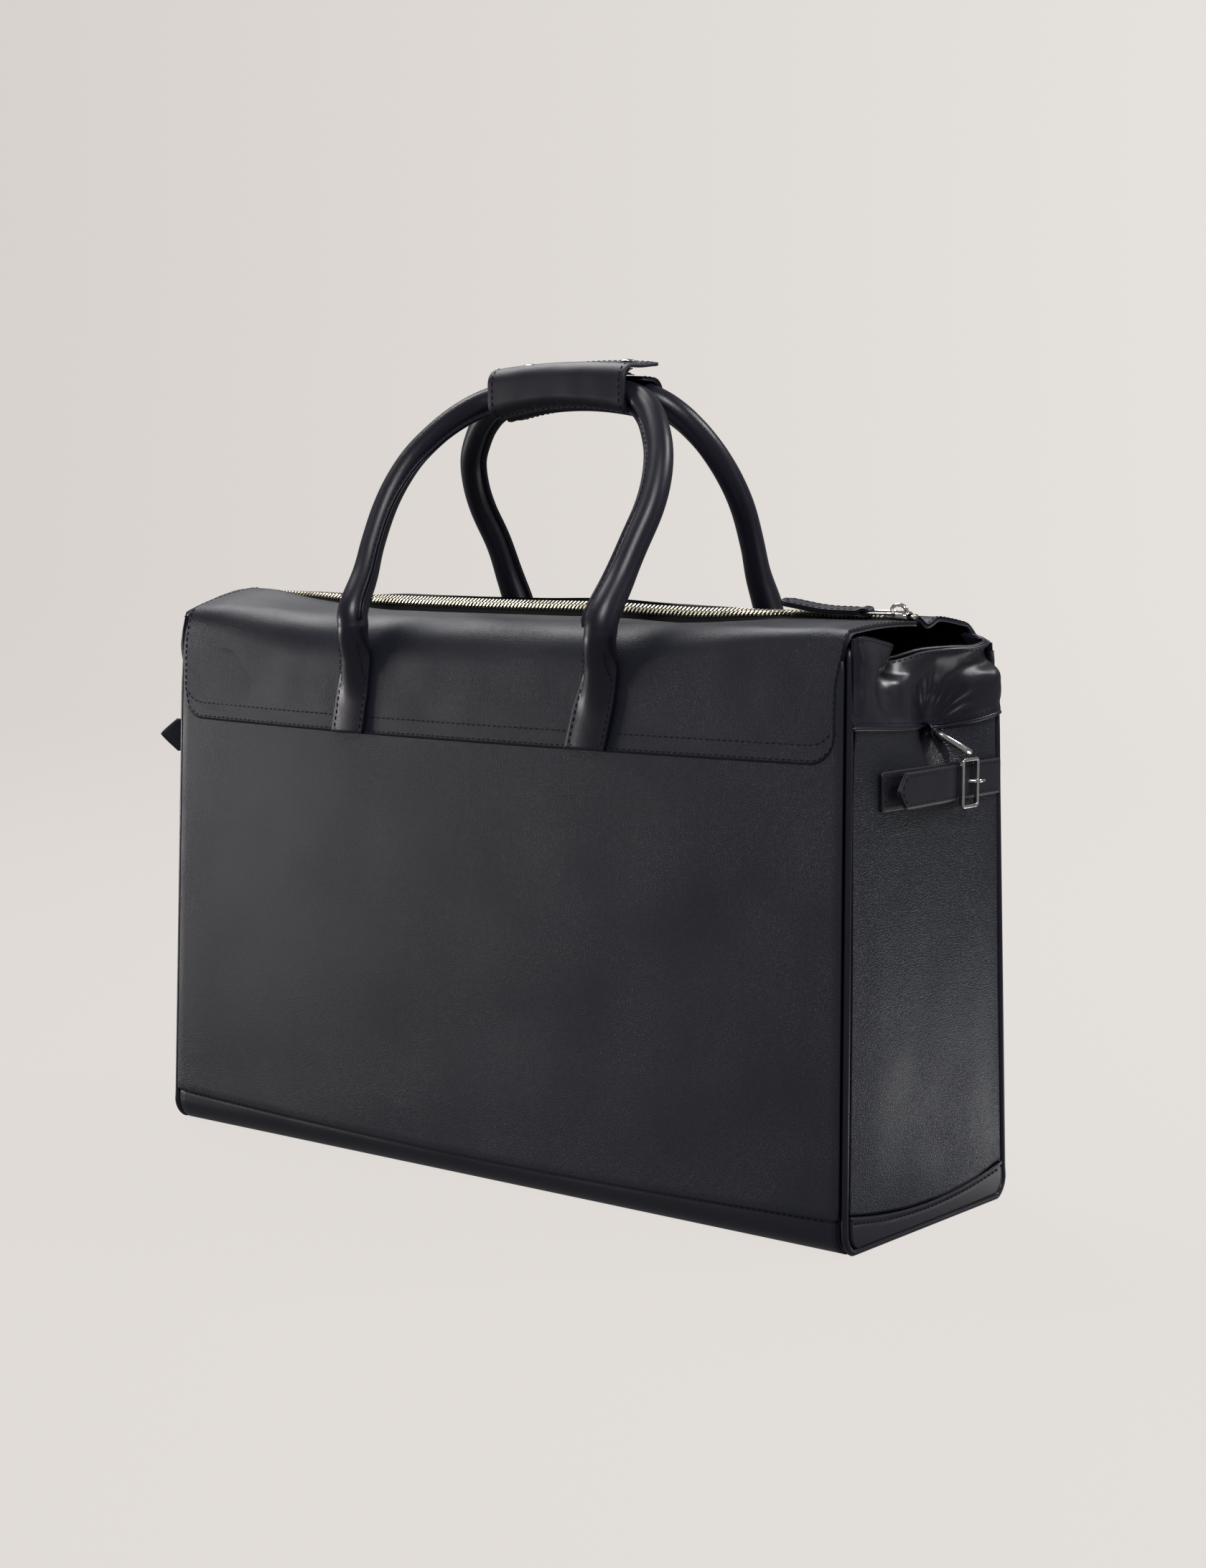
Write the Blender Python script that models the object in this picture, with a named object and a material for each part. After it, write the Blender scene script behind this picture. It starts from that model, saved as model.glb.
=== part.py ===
"""A leather garment bag: a boxy holdall with a long top zip between two flaps, two rolled handles joined
by a snap-closed grip wrap, and a buckled strap with a D-ring on each end.

Metres, +Z up. The origin is the centre of the base on the floor. X runs along the length, the front
face looks towards -Y, and the end with the closed zip slider is +X.
"""

import math

import bmesh
import bpy
from mathutils import Matrix, Vector

# Body
LENGTH = 0.550
DEPTH = 0.1755
END_TAPER = 0.017  # half-length lost for each metre of height
SIDE_TAPER = 0.0265  # half-depth lost for each metre of height
WALL = 0.003
GAP = 0.0003
EDGE_RADIUS = 0.014
PANEL_TOP_Z = 0.338
BAND_Z = 0.025
FRONT_SEAM_SAG = 0.006
END_SEAM_SAG = 0.0085
PIPING_RADIUS = 0.00205
PIPING_INSET = 0.001
PIPING_TOP_Z = 0.334
CORNER_CLEARANCE = PIPING_INSET + PIPING_RADIUS + GAP
LINING_WALL = 0.001
BOARD_HALF_LENGTH = 0.262
BOARD_HALF_WIDTH = 0.068
BOARD_WALL = 0.0024

# Gusset ends
SHAFT_SEAM_Z = 0.298
SHAFT_SEAM_DIP = 0.0095
SHAFT_TOP_Z = 0.333
FOLD_Y = 0.0262
FOLD_DEPTH = 0.0225
FOLD_WIDTH = 0.024
FOLD_START_Z = 0.245
FOLD_FULL_Z = 0.288
FOLD_OFFSETS = (-0.075, -0.050, -0.034, -0.024, -0.014, 0, 0.014, 0.024, 0.036)

# Top flaps and zip
FLAP_WALL = 0.0027
FLAP_EDGE_Z = 0.2745
FLAP_CORNER = 0.018
FLAP_SHOULDER_Z = 0.3405
FLAP_SHOULDER_RADIUS = 0.0085
FLAP_HALF_BOTTOM = 0.262
FLAP_HALF_TOP = {"front": 0.267, "back": 0.256}
FLAP_FLARE_Z = 0.326
ZIP_LEFT = Vector((-0.262, 0, 0.3586))
ZIP_RIGHT = Vector((0.255, 0, 0.3536))
ZIP_TILT = math.radians(45)
# Each tape's section, as (y, z) from the zip's line
TAPE_SECTIONS = {
    "front": ((-0.0003, -0.0003), (-0.0040, -0.0040), (-0.0060, -0.0074), (-0.0140, -0.0082)),
    "back": ((0.0003, 0.0003), (0.0030, 0.0024), (0.0060, 0.0020), (0.0140, 0.0004)),
}
TAPE_WALL = 0.0008
TOOTH_PITCH = 0.003
TOOTH_DEPTH = 0.0016
TEETH_WIDTH = 0.0032
TEETH_LOW = 0.0006
TEETH_HIGH = 0.0020
TEETH_CLEARANCE = 0.00028  # how far each row stays back from the middle of the zip
TEETH_START = 0.004  # the rows begin this far from the zip's left end
TEETH_END_X = 0.241
STOP_HALF_LENGTH = 0.0012
STOP_HALF_WIDTH = 0.0028
STOP_LOW = 0.0006
STOP_HIGH = 0.0024
BOTTOM_STOP_X = ZIP_LEFT.x + 0.0022
TOP_STOP_X = ZIP_RIGHT.x + 0.0055
SLIDER_X = 0.2505
SLIDER_LENGTH = 0.0140
SLIDER_HALF_WIDTH = 0.0048
SLIDER_WALL = 0.0010
SLIDER_FLANGE_LOW = 0.0008
SLIDER_SHOULDER = 0.0009  # the shell's height over the teeth at its sides
SLIDER_ROOF = 0.0016  # and at its middle
SLIDER_ROOF_HALF_WIDTH = 0.0030
SLIDER_NOSE = 0.95  # the shell narrows towards its closed end
PULL_HINGE_X = 0.2480
PULL_HINGE_HEIGHT = 0.0056
LINK_LENGTH = 0.0160
LINK_HALF_WIDTH = 0.0030
LINK_WIRE = 0.0008
PULL_START = 0.0012  # the leather begins this far beyond the link's end
PULL_LENGTH = 0.0600
PULL_WIDTH = 0.0100
PULL_TAPER = 0.006
PULL_START_HALF_WIDTH = 0.0030
PULL_TIP_HALF_WIDTH = 0.0022
PULL_BELOW = 0.0012
PULL_ABOVE = 0.0014

# Handles
PIVOT_Y = 0.0885
PIVOT_Z = 0.351
TUBE_RADIUS = 0.00775
# Half of an arch, from its crown to its pivot: distance along X from the middle, distance from the
# bag's middle plane, height.
ARCH = (
    (0.0000, 0.0097, 0.4915),
    (0.0220, 0.0097, 0.4910),
    (0.0450, 0.0098, 0.4885),
    (0.0640, 0.0105, 0.4838),
    (0.0785, 0.0160, 0.4755),
    (0.0905, 0.0235, 0.4640),
    (0.1005, 0.0320, 0.4500),
    (0.1065, 0.0415, 0.4335),
    (0.1085, 0.0515, 0.4160),
    (0.1065, 0.0640, 0.3945),
    (0.1045, 0.0750, 0.3750),
    (0.1030, PIVOT_Y, PIVOT_Z),
)
ARCH_BASE = ARCH[-1][0]
CROWN_X = 0.006  # the crown of each arch lies this far right of the bag's middle
FOOT_MIDDLE = {"front": 0.0007, "back": -0.0060}  # the middle of each arch lower down
FOOT_SHIFT_Z = 0.388  # below this height each leg leans over to its own tab
# Each tab: the middle of its lower end and of its upper end along X.
TABS = {
    "front": {"left": (-0.1090, -0.0970), "right": (0.0865, 0.1035)},
    "back": {"left": (-0.1200, -0.1185), "right": (0.0905, 0.0935)},
}
TAB_FACE_WIDTH = 0.029
TAB_TOP_WIDTH = 0.021
TAB_THICKNESS = 0.004
TAB_BULGE = 0.0100
TAB_BULGE_START_Z = 0.298
TAB_TOP_Z = 0.3425

# Grip wrap
WRAP_LEFT = -0.045
WRAP_RIGHT = 0.063
WRAP_HALF_DEPTH = 0.0212
WRAP_LOW_Z = 0.4758
WRAP_HIGH_Z = 0.5076
WRAP_WALL = 0.002
WRAP_ARCH = 0.9  # drop of the wrap towards its ends, per metre of distance squared
WRAP_CORNER = 0.0100
BACK_SHELL_HIGH_Z = 0.5022
LIP_NEAR_Y = -0.0060
LIP_FAR_Y = 0.0185
LIP_WALL = 0.0030
SNAP_X = (-0.0327, 0.0467)
SNAP_Y = 0.006
SNAP_RADIUS = 0.0052
SNAP_HEIGHT = 0.0014

# End straps, in two local coordinates: y along the end, and distance out from the end's face
STRAP_Z = 0.2587
STRAP_WIDTH = 0.0215
STRAP_WALL = 0.0018
STRAP_FACE_X = LENGTH / 2 - END_TAPER * 0.2412
STRAP_START_Y = -0.052
HEEL_Y = 0.0291
TIP_BAR_Y = 0.0454
BUCKLE_OUT = 0.0052
BUCKLE_DEPTH = 0.0032
BUCKLE_BAR = 0.0022
BUCKLE_HEIGHT = 0.0296
BUCKLE_Z = 0.2575
PRONG_RADIUS = 0.0009
PRONG_HOOK = 0.0032  # the radius at which the prong turns round the heel bar
PRONG_DIP = 0.0080  # how far past the heel bar it runs before it rises to the tip bar
PRONG_END = 0.0048  # how far it reaches past the tip bar
LOOP_RADIUS = 0.0024
LOOP_WALL = 0.0013
LOOP_REACH = (0.010, 0.013)  # how far from the heel bar the strap starts to lift, and how far it turns back
LOOP_SLOT = (-0.0048, 0.0060)  # the prong's slot in the loop, from the heel bar
LOOP_SLOT_HALF = 0.0020
BILLET_HIGH = BUCKLE_OUT + LOOP_RADIUS + LOOP_WALL + GAP + STRAP_WALL
BILLET_END_Y = 0.0765
# The billet's outer face: beside the tip bar, as (y from that bar, height over the end's face) without
# its thickness, and beside the heel bar, as (y from that bar, height over BILLET_HIGH)
BILLET_AT_TIP_BAR = ((0.0080, 0.0008), (0.0010, 0.0012), (-0.0030, 0.0020))
BILLET_AT_HEEL_BAR = ((0.0055, -0.0006), (0.0010, 0.0004))
BILLET_LIFT = 0.0004
BILLET_SLOT = (-0.0105, -0.0012)  # the prong's slot, from the tip bar
BILLET_SLOT_HALF = 0.0017
BILLET_SPLIT_Y = 0.0030
TIP_GAP = 0.0012  # between the billet and its free tip
TIP_LENGTH = 0.0480
TIP_POINT = 0.0080
# How far each end's buckle sits towards the front, and how its free tip stands away and rises
STRAP_SHIFT = {"right": 0.0, "left": 0.0245}
TIP_STAND_OFF = {"right": 0.003, "left": 0.026}
TIP_RISE = {"right": 0.0, "left": 0.0040}
RING_WIRE = 0.0017
RING_HALF_WIDTH = 0.0105
RING_LENGTH = 0.0244
RING_BAR = Vector((0.2600, FOLD_Y, 0.2868))
RING_SLOPE = math.radians(30)
RING_TURN = math.radians(38.8)  # the ring follows the front flank of the fold
RING_LOOP_WALL = 0.0016
RING_LOOP_HALF = 0.0060

# Colours
NAVY_GRAIN = (0.035, 0.037, 0.043, 1)
NAVY_SMOOTH = (0.018, 0.020, 0.030, 1)
LINING = (0.030, 0.030, 0.034, 1)
TAPE = (0.008, 0.008, 0.010, 1)
NICKEL = (0.80, 0.79, 0.76, 1)
PALE_GOLD = (0.78, 0.70, 0.50, 1)


def clear_scene():
    for obj in list(bpy.data.objects):
        bpy.data.objects.remove(obj, do_unlink=True)


def material(name, colour, roughness, metallic=0.0):
    """One Principled material for one sub-part."""
    made = bpy.data.materials.new(name)
    made.use_nodes = True
    shader = made.node_tree.nodes["Principled BSDF"]
    shader.inputs["Base Color"].default_value = colour
    shader.inputs["Roughness"].default_value = roughness
    shader.inputs["Metallic"].default_value = metallic
    return made


def half_length(z):
    return LENGTH / 2 - END_TAPER * z


def half_depth(z):
    return DEPTH / 2 - SIDE_TAPER * z


def smooth_step(low, high, value):
    t = min(1.0, max(0.0, (value - low) / (high - low)))
    return t * t * (3 - 2 * t)


def mix(a, b, t):
    return a + (b - a) * t


def arc(centre, radius, start, end, steps):
    """Points of an arc in a plane, with angles in degrees."""
    points = []
    for i in range(steps + 1):
        angle = math.radians(mix(start, end, i / steps))
        points.append((centre[0] + radius * math.cos(angle), centre[1] + radius * math.sin(angle)))
    return points


def add_object(name, vertices, faces, look, origin=(0, 0, 0), mirror=False, smooth=False):
    """A closed mesh as one object with its own material and its origin at a chosen point."""
    origin = Vector(origin)
    if mirror:
        vertices = [Vector((-v[0], v[1], v[2])) for v in vertices]
        origin = Vector((-origin.x, origin.y, origin.z))
    mesh = bpy.data.meshes.new(name)
    mesh.from_pydata([Vector(v) - origin for v in vertices], [], faces)
    shape = bmesh.new()
    shape.from_mesh(mesh)
    bmesh.ops.recalc_face_normals(shape, faces=shape.faces)
    shape.to_mesh(mesh)
    shape.free()
    if smooth:
        mesh.shade_smooth()
        mesh.set_sharp_from_angle(angle=math.radians(40))
    mesh.materials.append(material(name, *look))
    obj = bpy.data.objects.new(name, mesh)
    obj.location = origin
    bpy.context.scene.collection.objects.link(obj)
    return obj


def grid_normal(grid, i, j):
    """The normal of a grid of points at one of them, from its neighbours."""
    along = grid[min(i + 1, len(grid) - 1)][j] - grid[max(i - 1, 0)][j]
    across = grid[i][min(j + 1, len(grid[0]) - 1)] - grid[i][max(j - 1, 0)]
    return along.cross(across).normalized()


def sheet(grid, thickness):
    """Vertices and faces of a closed sheet: the grid is one face, the other lies thickness behind it."""
    rows = len(grid)
    columns = len(grid[0])
    grid = [[Vector(p) for p in row] for row in grid]
    vertices = [p for row in grid for p in row]
    for i in range(rows):
        for j in range(columns):
            vertices.append(grid[i][j] - grid_normal(grid, i, j) * thickness)
    behind = rows * columns
    faces = []
    for i in range(rows - 1):
        for j in range(columns - 1):
            a = i * columns + j
            quad = (a, a + 1, a + columns + 1, a + columns)
            faces.append(quad)
            faces.append(tuple(behind + k for k in reversed(quad)))
    rim = list(range(columns))
    rim += [i * columns + columns - 1 for i in range(1, rows)]
    rim += [(rows - 1) * columns + j for j in range(columns - 2, -1, -1)]
    rim += [i * columns for i in range(rows - 2, 0, -1)]
    for k, a in enumerate(rim):
        b = rim[(k + 1) % len(rim)]
        faces.append((a, b, behind + b, behind + a))
    return vertices, faces


def loft(rings, closed=False):
    """Vertices and faces through rings of the same number of points, capped unless closed on itself."""
    count = len(rings[0])
    vertices = [Vector(p) for ring in rings for p in ring]
    faces = []
    last = len(rings) if closed else len(rings) - 1
    for i in range(last):
        for j in range(count):
            a = i * count + j
            b = i * count + (j + 1) % count
            c = ((i + 1) % len(rings)) * count + (j + 1) % count
            d = ((i + 1) % len(rings)) * count + j
            faces.append((a, b, c, d))
    if not closed:
        faces.append(tuple(range(count)))
        faces.append(tuple((len(rings) - 1) * count + j for j in range(count)))
    return vertices, faces


def smooth_path(points, steps):
    """A Catmull-Rom curve through points, with a number of steps between each two."""
    points = [Vector(p) for p in points]
    ends = [2 * points[0] - points[1], *points, 2 * points[-1] - points[-2]]
    path = []
    for i in range(1, len(ends) - 2):
        p0, p1, p2, p3 = ends[i - 1 : i + 3]
        for k in range(steps):
            t = k / steps
            path.append(
                0.5 * (2 * p1 + (p2 - p0) * t + (2 * p0 - 5 * p1 + 4 * p2 - p3) * t**2)
                + 0.5 * (3 * p1 - p0 - 3 * p2 + p3) * t**3
            )
    path.append(points[-1])
    return path


def sweep(path, radius, sides, closed=False, round_ends=False):
    """A round tube along a path, with its frame carried along without twisting."""
    path = [Vector(p) for p in path]
    count = len(path)
    tangents = []
    for i in range(count):
        before = path[(i - 1) % count] if closed else path[max(i - 1, 0)]
        after = path[(i + 1) % count] if closed else path[min(i + 1, count - 1)]
        tangents.append((after - before).normalized())
    side = tangents[0].orthogonal().normalized()
    rings = []
    for i in range(count):
        side = (side - tangents[i] * side.dot(tangents[i])).normalized()
        up = tangents[i].cross(side)
        sizes = [(0.0, 1.0)]
        if round_ends and i == 0:
            sizes = [(-0.97, 0.24), (-0.71, 0.71), (0.0, 1.0)]
        elif round_ends and i == count - 1:
            sizes = [(0.0, 1.0), (0.71, 0.71), (0.97, 0.24)]
        for along, size in sizes:
            middle = path[i] + tangents[i] * radius * along
            ring = []
            for k in range(sides):
                angle = 2 * math.pi * k / sides
                spoke = side * math.cos(angle) + up * math.sin(angle)
                ring.append(middle + spoke * radius * size)
            rings.append(ring)
    return loft(rings, closed)


def box(low, high):
    """Vertices and faces of a box between two corners."""
    x0, y0, z0 = low
    x1, y1, z1 = high
    rings = [[(x0, y0, z), (x1, y0, z), (x1, y1, z), (x0, y1, z)] for z in (z0, z1)]
    return loft(rings)


def cut_box(obj, low, high):
    """Cuts a box-shaped slot, given in world coordinates, out of an object."""
    vertices, faces = box(low, high)
    mesh = bpy.data.meshes.new(obj.name + "_cutter")
    mesh.from_pydata(vertices, [], faces)
    shape = bmesh.new()
    shape.from_mesh(mesh)
    bmesh.ops.recalc_face_normals(shape, faces=shape.faces)
    shape.to_mesh(mesh)
    shape.free()
    cutter = bpy.data.objects.new(obj.name + "_cutter", mesh)
    cutter.hide_render = True
    cutter.display_type = "WIRE"
    bpy.context.scene.collection.objects.link(cutter)
    modifier = obj.modifiers.new("slot", "BOOLEAN")
    modifier.operation = "DIFFERENCE"
    modifier.object = cutter


# ---------------------------------------------------------------- body


def front_seam_z(x):
    """The seam between band and panel hangs lower in the middle than at the corners."""
    return BAND_Z - FRONT_SEAM_SAG * (1 - (2 * x / LENGTH) ** 2)


def end_seam_z(y):
    return BAND_Z - END_SEAM_SAG * (1 - (2 * y / DEPTH) ** 2)


def make_long_panels():
    columns = 9
    for side, name in ((-1, "front_panel"), (1, "back_panel")):
        grid = []
        for height in (0.0, 0.35, 0.7, 1.0):
            row = []
            for k in range(columns):
                u = 2 * k / (columns - 1) - 1
                seam = front_seam_z(u * half_length(BAND_Z)) + GAP / 2
                z = mix(seam, PANEL_TOP_Z, height)
                reach = half_length(z) - CORNER_CLEARANCE
                row.append(Vector((side * -u * reach, side * half_depth(z), z)))
            grid.append(row)
        vertices, faces = sheet(grid, -WALL)
        add_object(name, vertices, faces, (NAVY_GRAIN, 0.5))


def make_linings():
    for side, name in ((-1, "front_lining"), (1, "back_lining")):
        grid = []
        for z in (BAND_Z + 0.005, PANEL_TOP_Z - 0.003):
            reach = half_length(z) - 2 * CORNER_CLEARANCE
            y = side * (half_depth(z) - WALL - GAP)
            grid.append([Vector((side * -u * reach, y, z)) for u in (-1, -0.5, 0, 0.5, 1)])
        vertices, faces = sheet(grid, -LINING_WALL)
        add_object(name, vertices, faces, (LINING, 0.8))


def make_base():
    """The base leather, with its long sides turned up into bands, and the board that lies on it."""
    columns = 9
    grid = []
    for k in range(columns):
        u = 2 * k / (columns - 1) - 1
        x = u * (half_length(BAND_Z) - CORNER_CLEARANCE)
        top = front_seam_z(x) - GAP / 2
        corner = half_depth(EDGE_RADIUS) - EDGE_RADIUS
        profile = [(-half_depth(top), top)]
        profile += arc((-corner, EDGE_RADIUS), EDGE_RADIUS, 180, 270, 5)
        profile += [(-corner / 2, 0), (corner / 2, 0)]
        profile += arc((corner, EDGE_RADIUS), EDGE_RADIUS, 270, 360, 5)
        profile.append((half_depth(top), top))
        grid.append([Vector((x, y, z)) for y, z in profile])
    vertices, faces = sheet(grid, -WALL)
    add_object("base_wrap", vertices, faces, (NAVY_SMOOTH, 0.45))
    low = WALL + GAP
    reach = BOARD_HALF_LENGTH
    width = BOARD_HALF_WIDTH
    vertices, faces = box((-reach, -width, low), (reach, width, low + BOARD_WALL))
    add_object("base_board", vertices, faces, (LINING, 0.9))


def fold_depth(y, z):
    """How far the end is pinched in at a point: a flat-bottomed valley under the D-ring."""
    across = math.exp(-(((y - FOLD_Y) / FOLD_WIDTH) ** 4))
    rise = smooth_step(FOLD_START_Z, FOLD_FULL_Z, z)
    ease = 1 - 0.45 * smooth_step(SHAFT_SEAM_Z, SHAFT_TOP_Z, z)
    return FOLD_DEPTH * across * rise * ease


def end_columns(z):
    """The places across an end where its grid has a column."""
    reach = half_depth(z) - CORNER_CLEARANCE
    if z < EDGE_RADIUS:
        radius = EDGE_RADIUS - CORNER_CLEARANCE
        reach = half_depth(z) - EDGE_RADIUS + math.sqrt(radius**2 - (EDGE_RADIUS - z) ** 2)
    inner = [FOLD_Y + offset for offset in FOLD_OFFSETS]
    return [-reach, *[min(max(y, -reach + 0.002), reach - 0.002) for y in inner], reach]


def shaft_seam_z(y):
    return SHAFT_SEAM_Z - SHAFT_SEAM_DIP * math.exp(-(((y - FOLD_Y) / 0.045) ** 2))


def make_ends():
    for name, mirror in (("right", False), ("left", True)):
        grid = []
        for z in (CORNER_CLEARANCE + 0.0017, 0.0075, 0.0110, 0.0148):
            grid.append([Vector((half_length(z), y, z)) for y in end_columns(z)])
        row = []
        for y in end_columns(BAND_Z):
            z = end_seam_z(y) - GAP / 2
            row.append(Vector((half_length(z), y, z)))
        grid.append(row)
        vertices, faces = sheet(grid, -WALL)
        add_object(name + "_band", vertices, faces, (NAVY_SMOOTH, 0.45), mirror=mirror)

        grid = []
        for height in (0.0, 0.45, 0.80, 0.87, 0.94, 1.0):
            row = []
            for y in end_columns(mix(BAND_Z, SHAFT_SEAM_Z, height)):
                low = end_seam_z(y) + GAP / 2
                z = mix(low, shaft_seam_z(y) - GAP / 2, height)
                row.append(Vector((half_length(z) - fold_depth(y, z), y, z)))
            grid.append(row)
        vertices, faces = sheet(grid, -WALL)
        add_object(name + "_end_panel", vertices, faces, (NAVY_GRAIN, 0.45), mirror=mirror)

        grid = []
        for height in (0.0, 0.35, 0.7, 1.0):
            row = []
            for y in end_columns(mix(SHAFT_SEAM_Z, SHAFT_TOP_Z, height)):
                z = mix(shaft_seam_z(y) + GAP / 2, SHAFT_TOP_Z, height)
                row.append(Vector((half_length(z) - fold_depth(y, z), y, z)))
            grid.append(row)
        vertices, faces = sheet(grid, -WALL + 0.0008)
        add_object(name + "_gusset_shaft", vertices, faces, (NAVY_SMOOTH, 0.4), mirror=mirror)


def make_piping():
    """A corded edge up each end's front edge, along its bottom and up its back edge."""
    corner = half_depth(EDGE_RADIUS) - EDGE_RADIUS
    radius = EDGE_RADIUS - PIPING_INSET
    low = PIPING_RADIUS + 0.0001
    path = []
    for z in (PIPING_TOP_Z, 0.22, 0.11, 0.03):
        path.append(Vector((half_length(z) - PIPING_INSET, -half_depth(z) + PIPING_INSET, z)))
    for y, z in arc((-corner, EDGE_RADIUS), radius, 180, 270, 5):
        path.append(Vector((half_length(0) - PIPING_INSET, y, max(z, low))))
    path += [Vector((p.x, -p.y, p.z)) for p in reversed(path)]
    vertices, faces = sweep(path, PIPING_RADIUS, 8, round_ends=True)
    for name, mirror in (("right_piping", False), ("left_piping", True)):
        add_object(name, vertices, faces, (NAVY_SMOOTH, 0.4), mirror=mirror, smooth=True)


# ---------------------------------------------------------------- flaps and zip


def zip_point(x, across, out):
    """A point on the zip: across runs from front to back over the teeth, out is away from the bag."""
    t = (x - ZIP_LEFT.x) / (ZIP_RIGHT.x - ZIP_LEFT.x)
    z = mix(ZIP_LEFT.z, ZIP_RIGHT.z, t)
    y = across * math.cos(ZIP_TILT) - out * math.sin(ZIP_TILT)
    return Vector((x, y, z + across * math.sin(ZIP_TILT) + out * math.cos(ZIP_TILT)))


def flap_profile(x, side, drop):
    """One section of a flap, from its lower edge over the shoulder to the zip, as (y, z)."""
    line = zip_point(x, 0, 0).z
    inner = (0.0068, line - 0.0038) if side < 0 else (0.0058, line + 0.0060)
    centre_y = half_depth(FLAP_SHOULDER_Z) + WALL - FLAP_SHOULDER_RADIUS
    points = []
    for t in (0.0, 0.35, 0.7):
        z = mix(FLAP_EDGE_Z + drop, FLAP_SHOULDER_Z, t)
        points.append((half_depth(z) + FLAP_WALL + GAP, z))
    points += arc((centre_y, FLAP_SHOULDER_Z), FLAP_SHOULDER_RADIUS, 0, 84, 4)
    last = points[-1]
    for t in (0.33, 0.66, 1.0):
        points.append((mix(last[0], inner[0], t), mix(last[1], inner[1], t)))
    return [(side * y, z) for y, z in points]


def make_flaps():
    stations = (-1, -0.985, -0.955, -0.9, -0.5, 0, 0.5, 0.9, 0.955, 0.985, 1)
    for side, face in ((-1, "front"), (1, "back")):
        top = FLAP_HALF_TOP[face]
        grid = []
        for u in stations:
            inset = max(0.0, abs(u) * FLAP_HALF_BOTTOM - (FLAP_HALF_BOTTOM - FLAP_CORNER))
            drop = FLAP_CORNER - math.sqrt(max(0.0, FLAP_CORNER**2 - inset**2))
            section = flap_profile(u * top, side, drop)
            row = []
            for y, z in section:
                t = smooth_step(FLAP_FLARE_Z, FLAP_SHOULDER_Z + FLAP_SHOULDER_RADIUS, z)
                row.append(Vector((u * mix(FLAP_HALF_BOTTOM, top, t), y, z)))
            grid.append(row)
        vertices, faces = sheet(grid, side * -FLAP_WALL)
        add_object(face + "_flap", vertices, faces, (NAVY_GRAIN, 0.5))


def make_zip():
    for face, profile in TAPE_SECTIONS.items():
        grid = []
        for x in (ZIP_LEFT.x, -0.1, 0.1, ZIP_RIGHT.x):
            line = zip_point(x, 0, 0)
            grid.append([line + Vector((0, y, z)) for y, z in profile])
        vertices, faces = sheet(grid, -TAPE_WALL if face == "front" else TAPE_WALL)
        add_object(f"zip_tape_{face}", vertices, faces, (TAPE, 0.9))
    count = int((TEETH_END_X - ZIP_LEFT.x - TEETH_START) / TOOTH_PITCH)
    for side, name in ((-1, "zip_teeth_front"), (1, "zip_teeth_back")):
        outline = []
        for k in range(2 * count + 1):
            x = TEETH_END_X - k * TOOTH_PITCH / 2
            reach = TOOTH_DEPTH / 2 if k % 2 == 0 else -TOOTH_DEPTH / 2
            outline.append((x, reach + side * TEETH_CLEARANCE))
        outline.append((outline[-1][0], side * TEETH_WIDTH))
        outline.append((outline[0][0], side * TEETH_WIDTH))
        rings = [[zip_point(x, u, out) for x, u in outline] for out in (TEETH_LOW, TEETH_HIGH)]
        vertices, faces = loft(rings)
        add_object(name, vertices, faces, (PALE_GOLD, 0.3, 1.0))
    for name, x in (("zip_bottom_stop", BOTTOM_STOP_X), ("zip_top_stop", TOP_STOP_X)):
        rings = []
        for out in (STOP_LOW, STOP_HIGH):
            corners = ((-1, -1), (1, -1), (1, 1), (-1, 1))
            flat = [(x + i * STOP_HALF_LENGTH, j * STOP_HALF_WIDTH) for i, j in corners]
            rings.append([zip_point(px, u, out) for px, u in flat])
        vertices, faces = loft(rings)
        add_object(name, vertices, faces, (PALE_GOLD, 0.3, 1.0))


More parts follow.
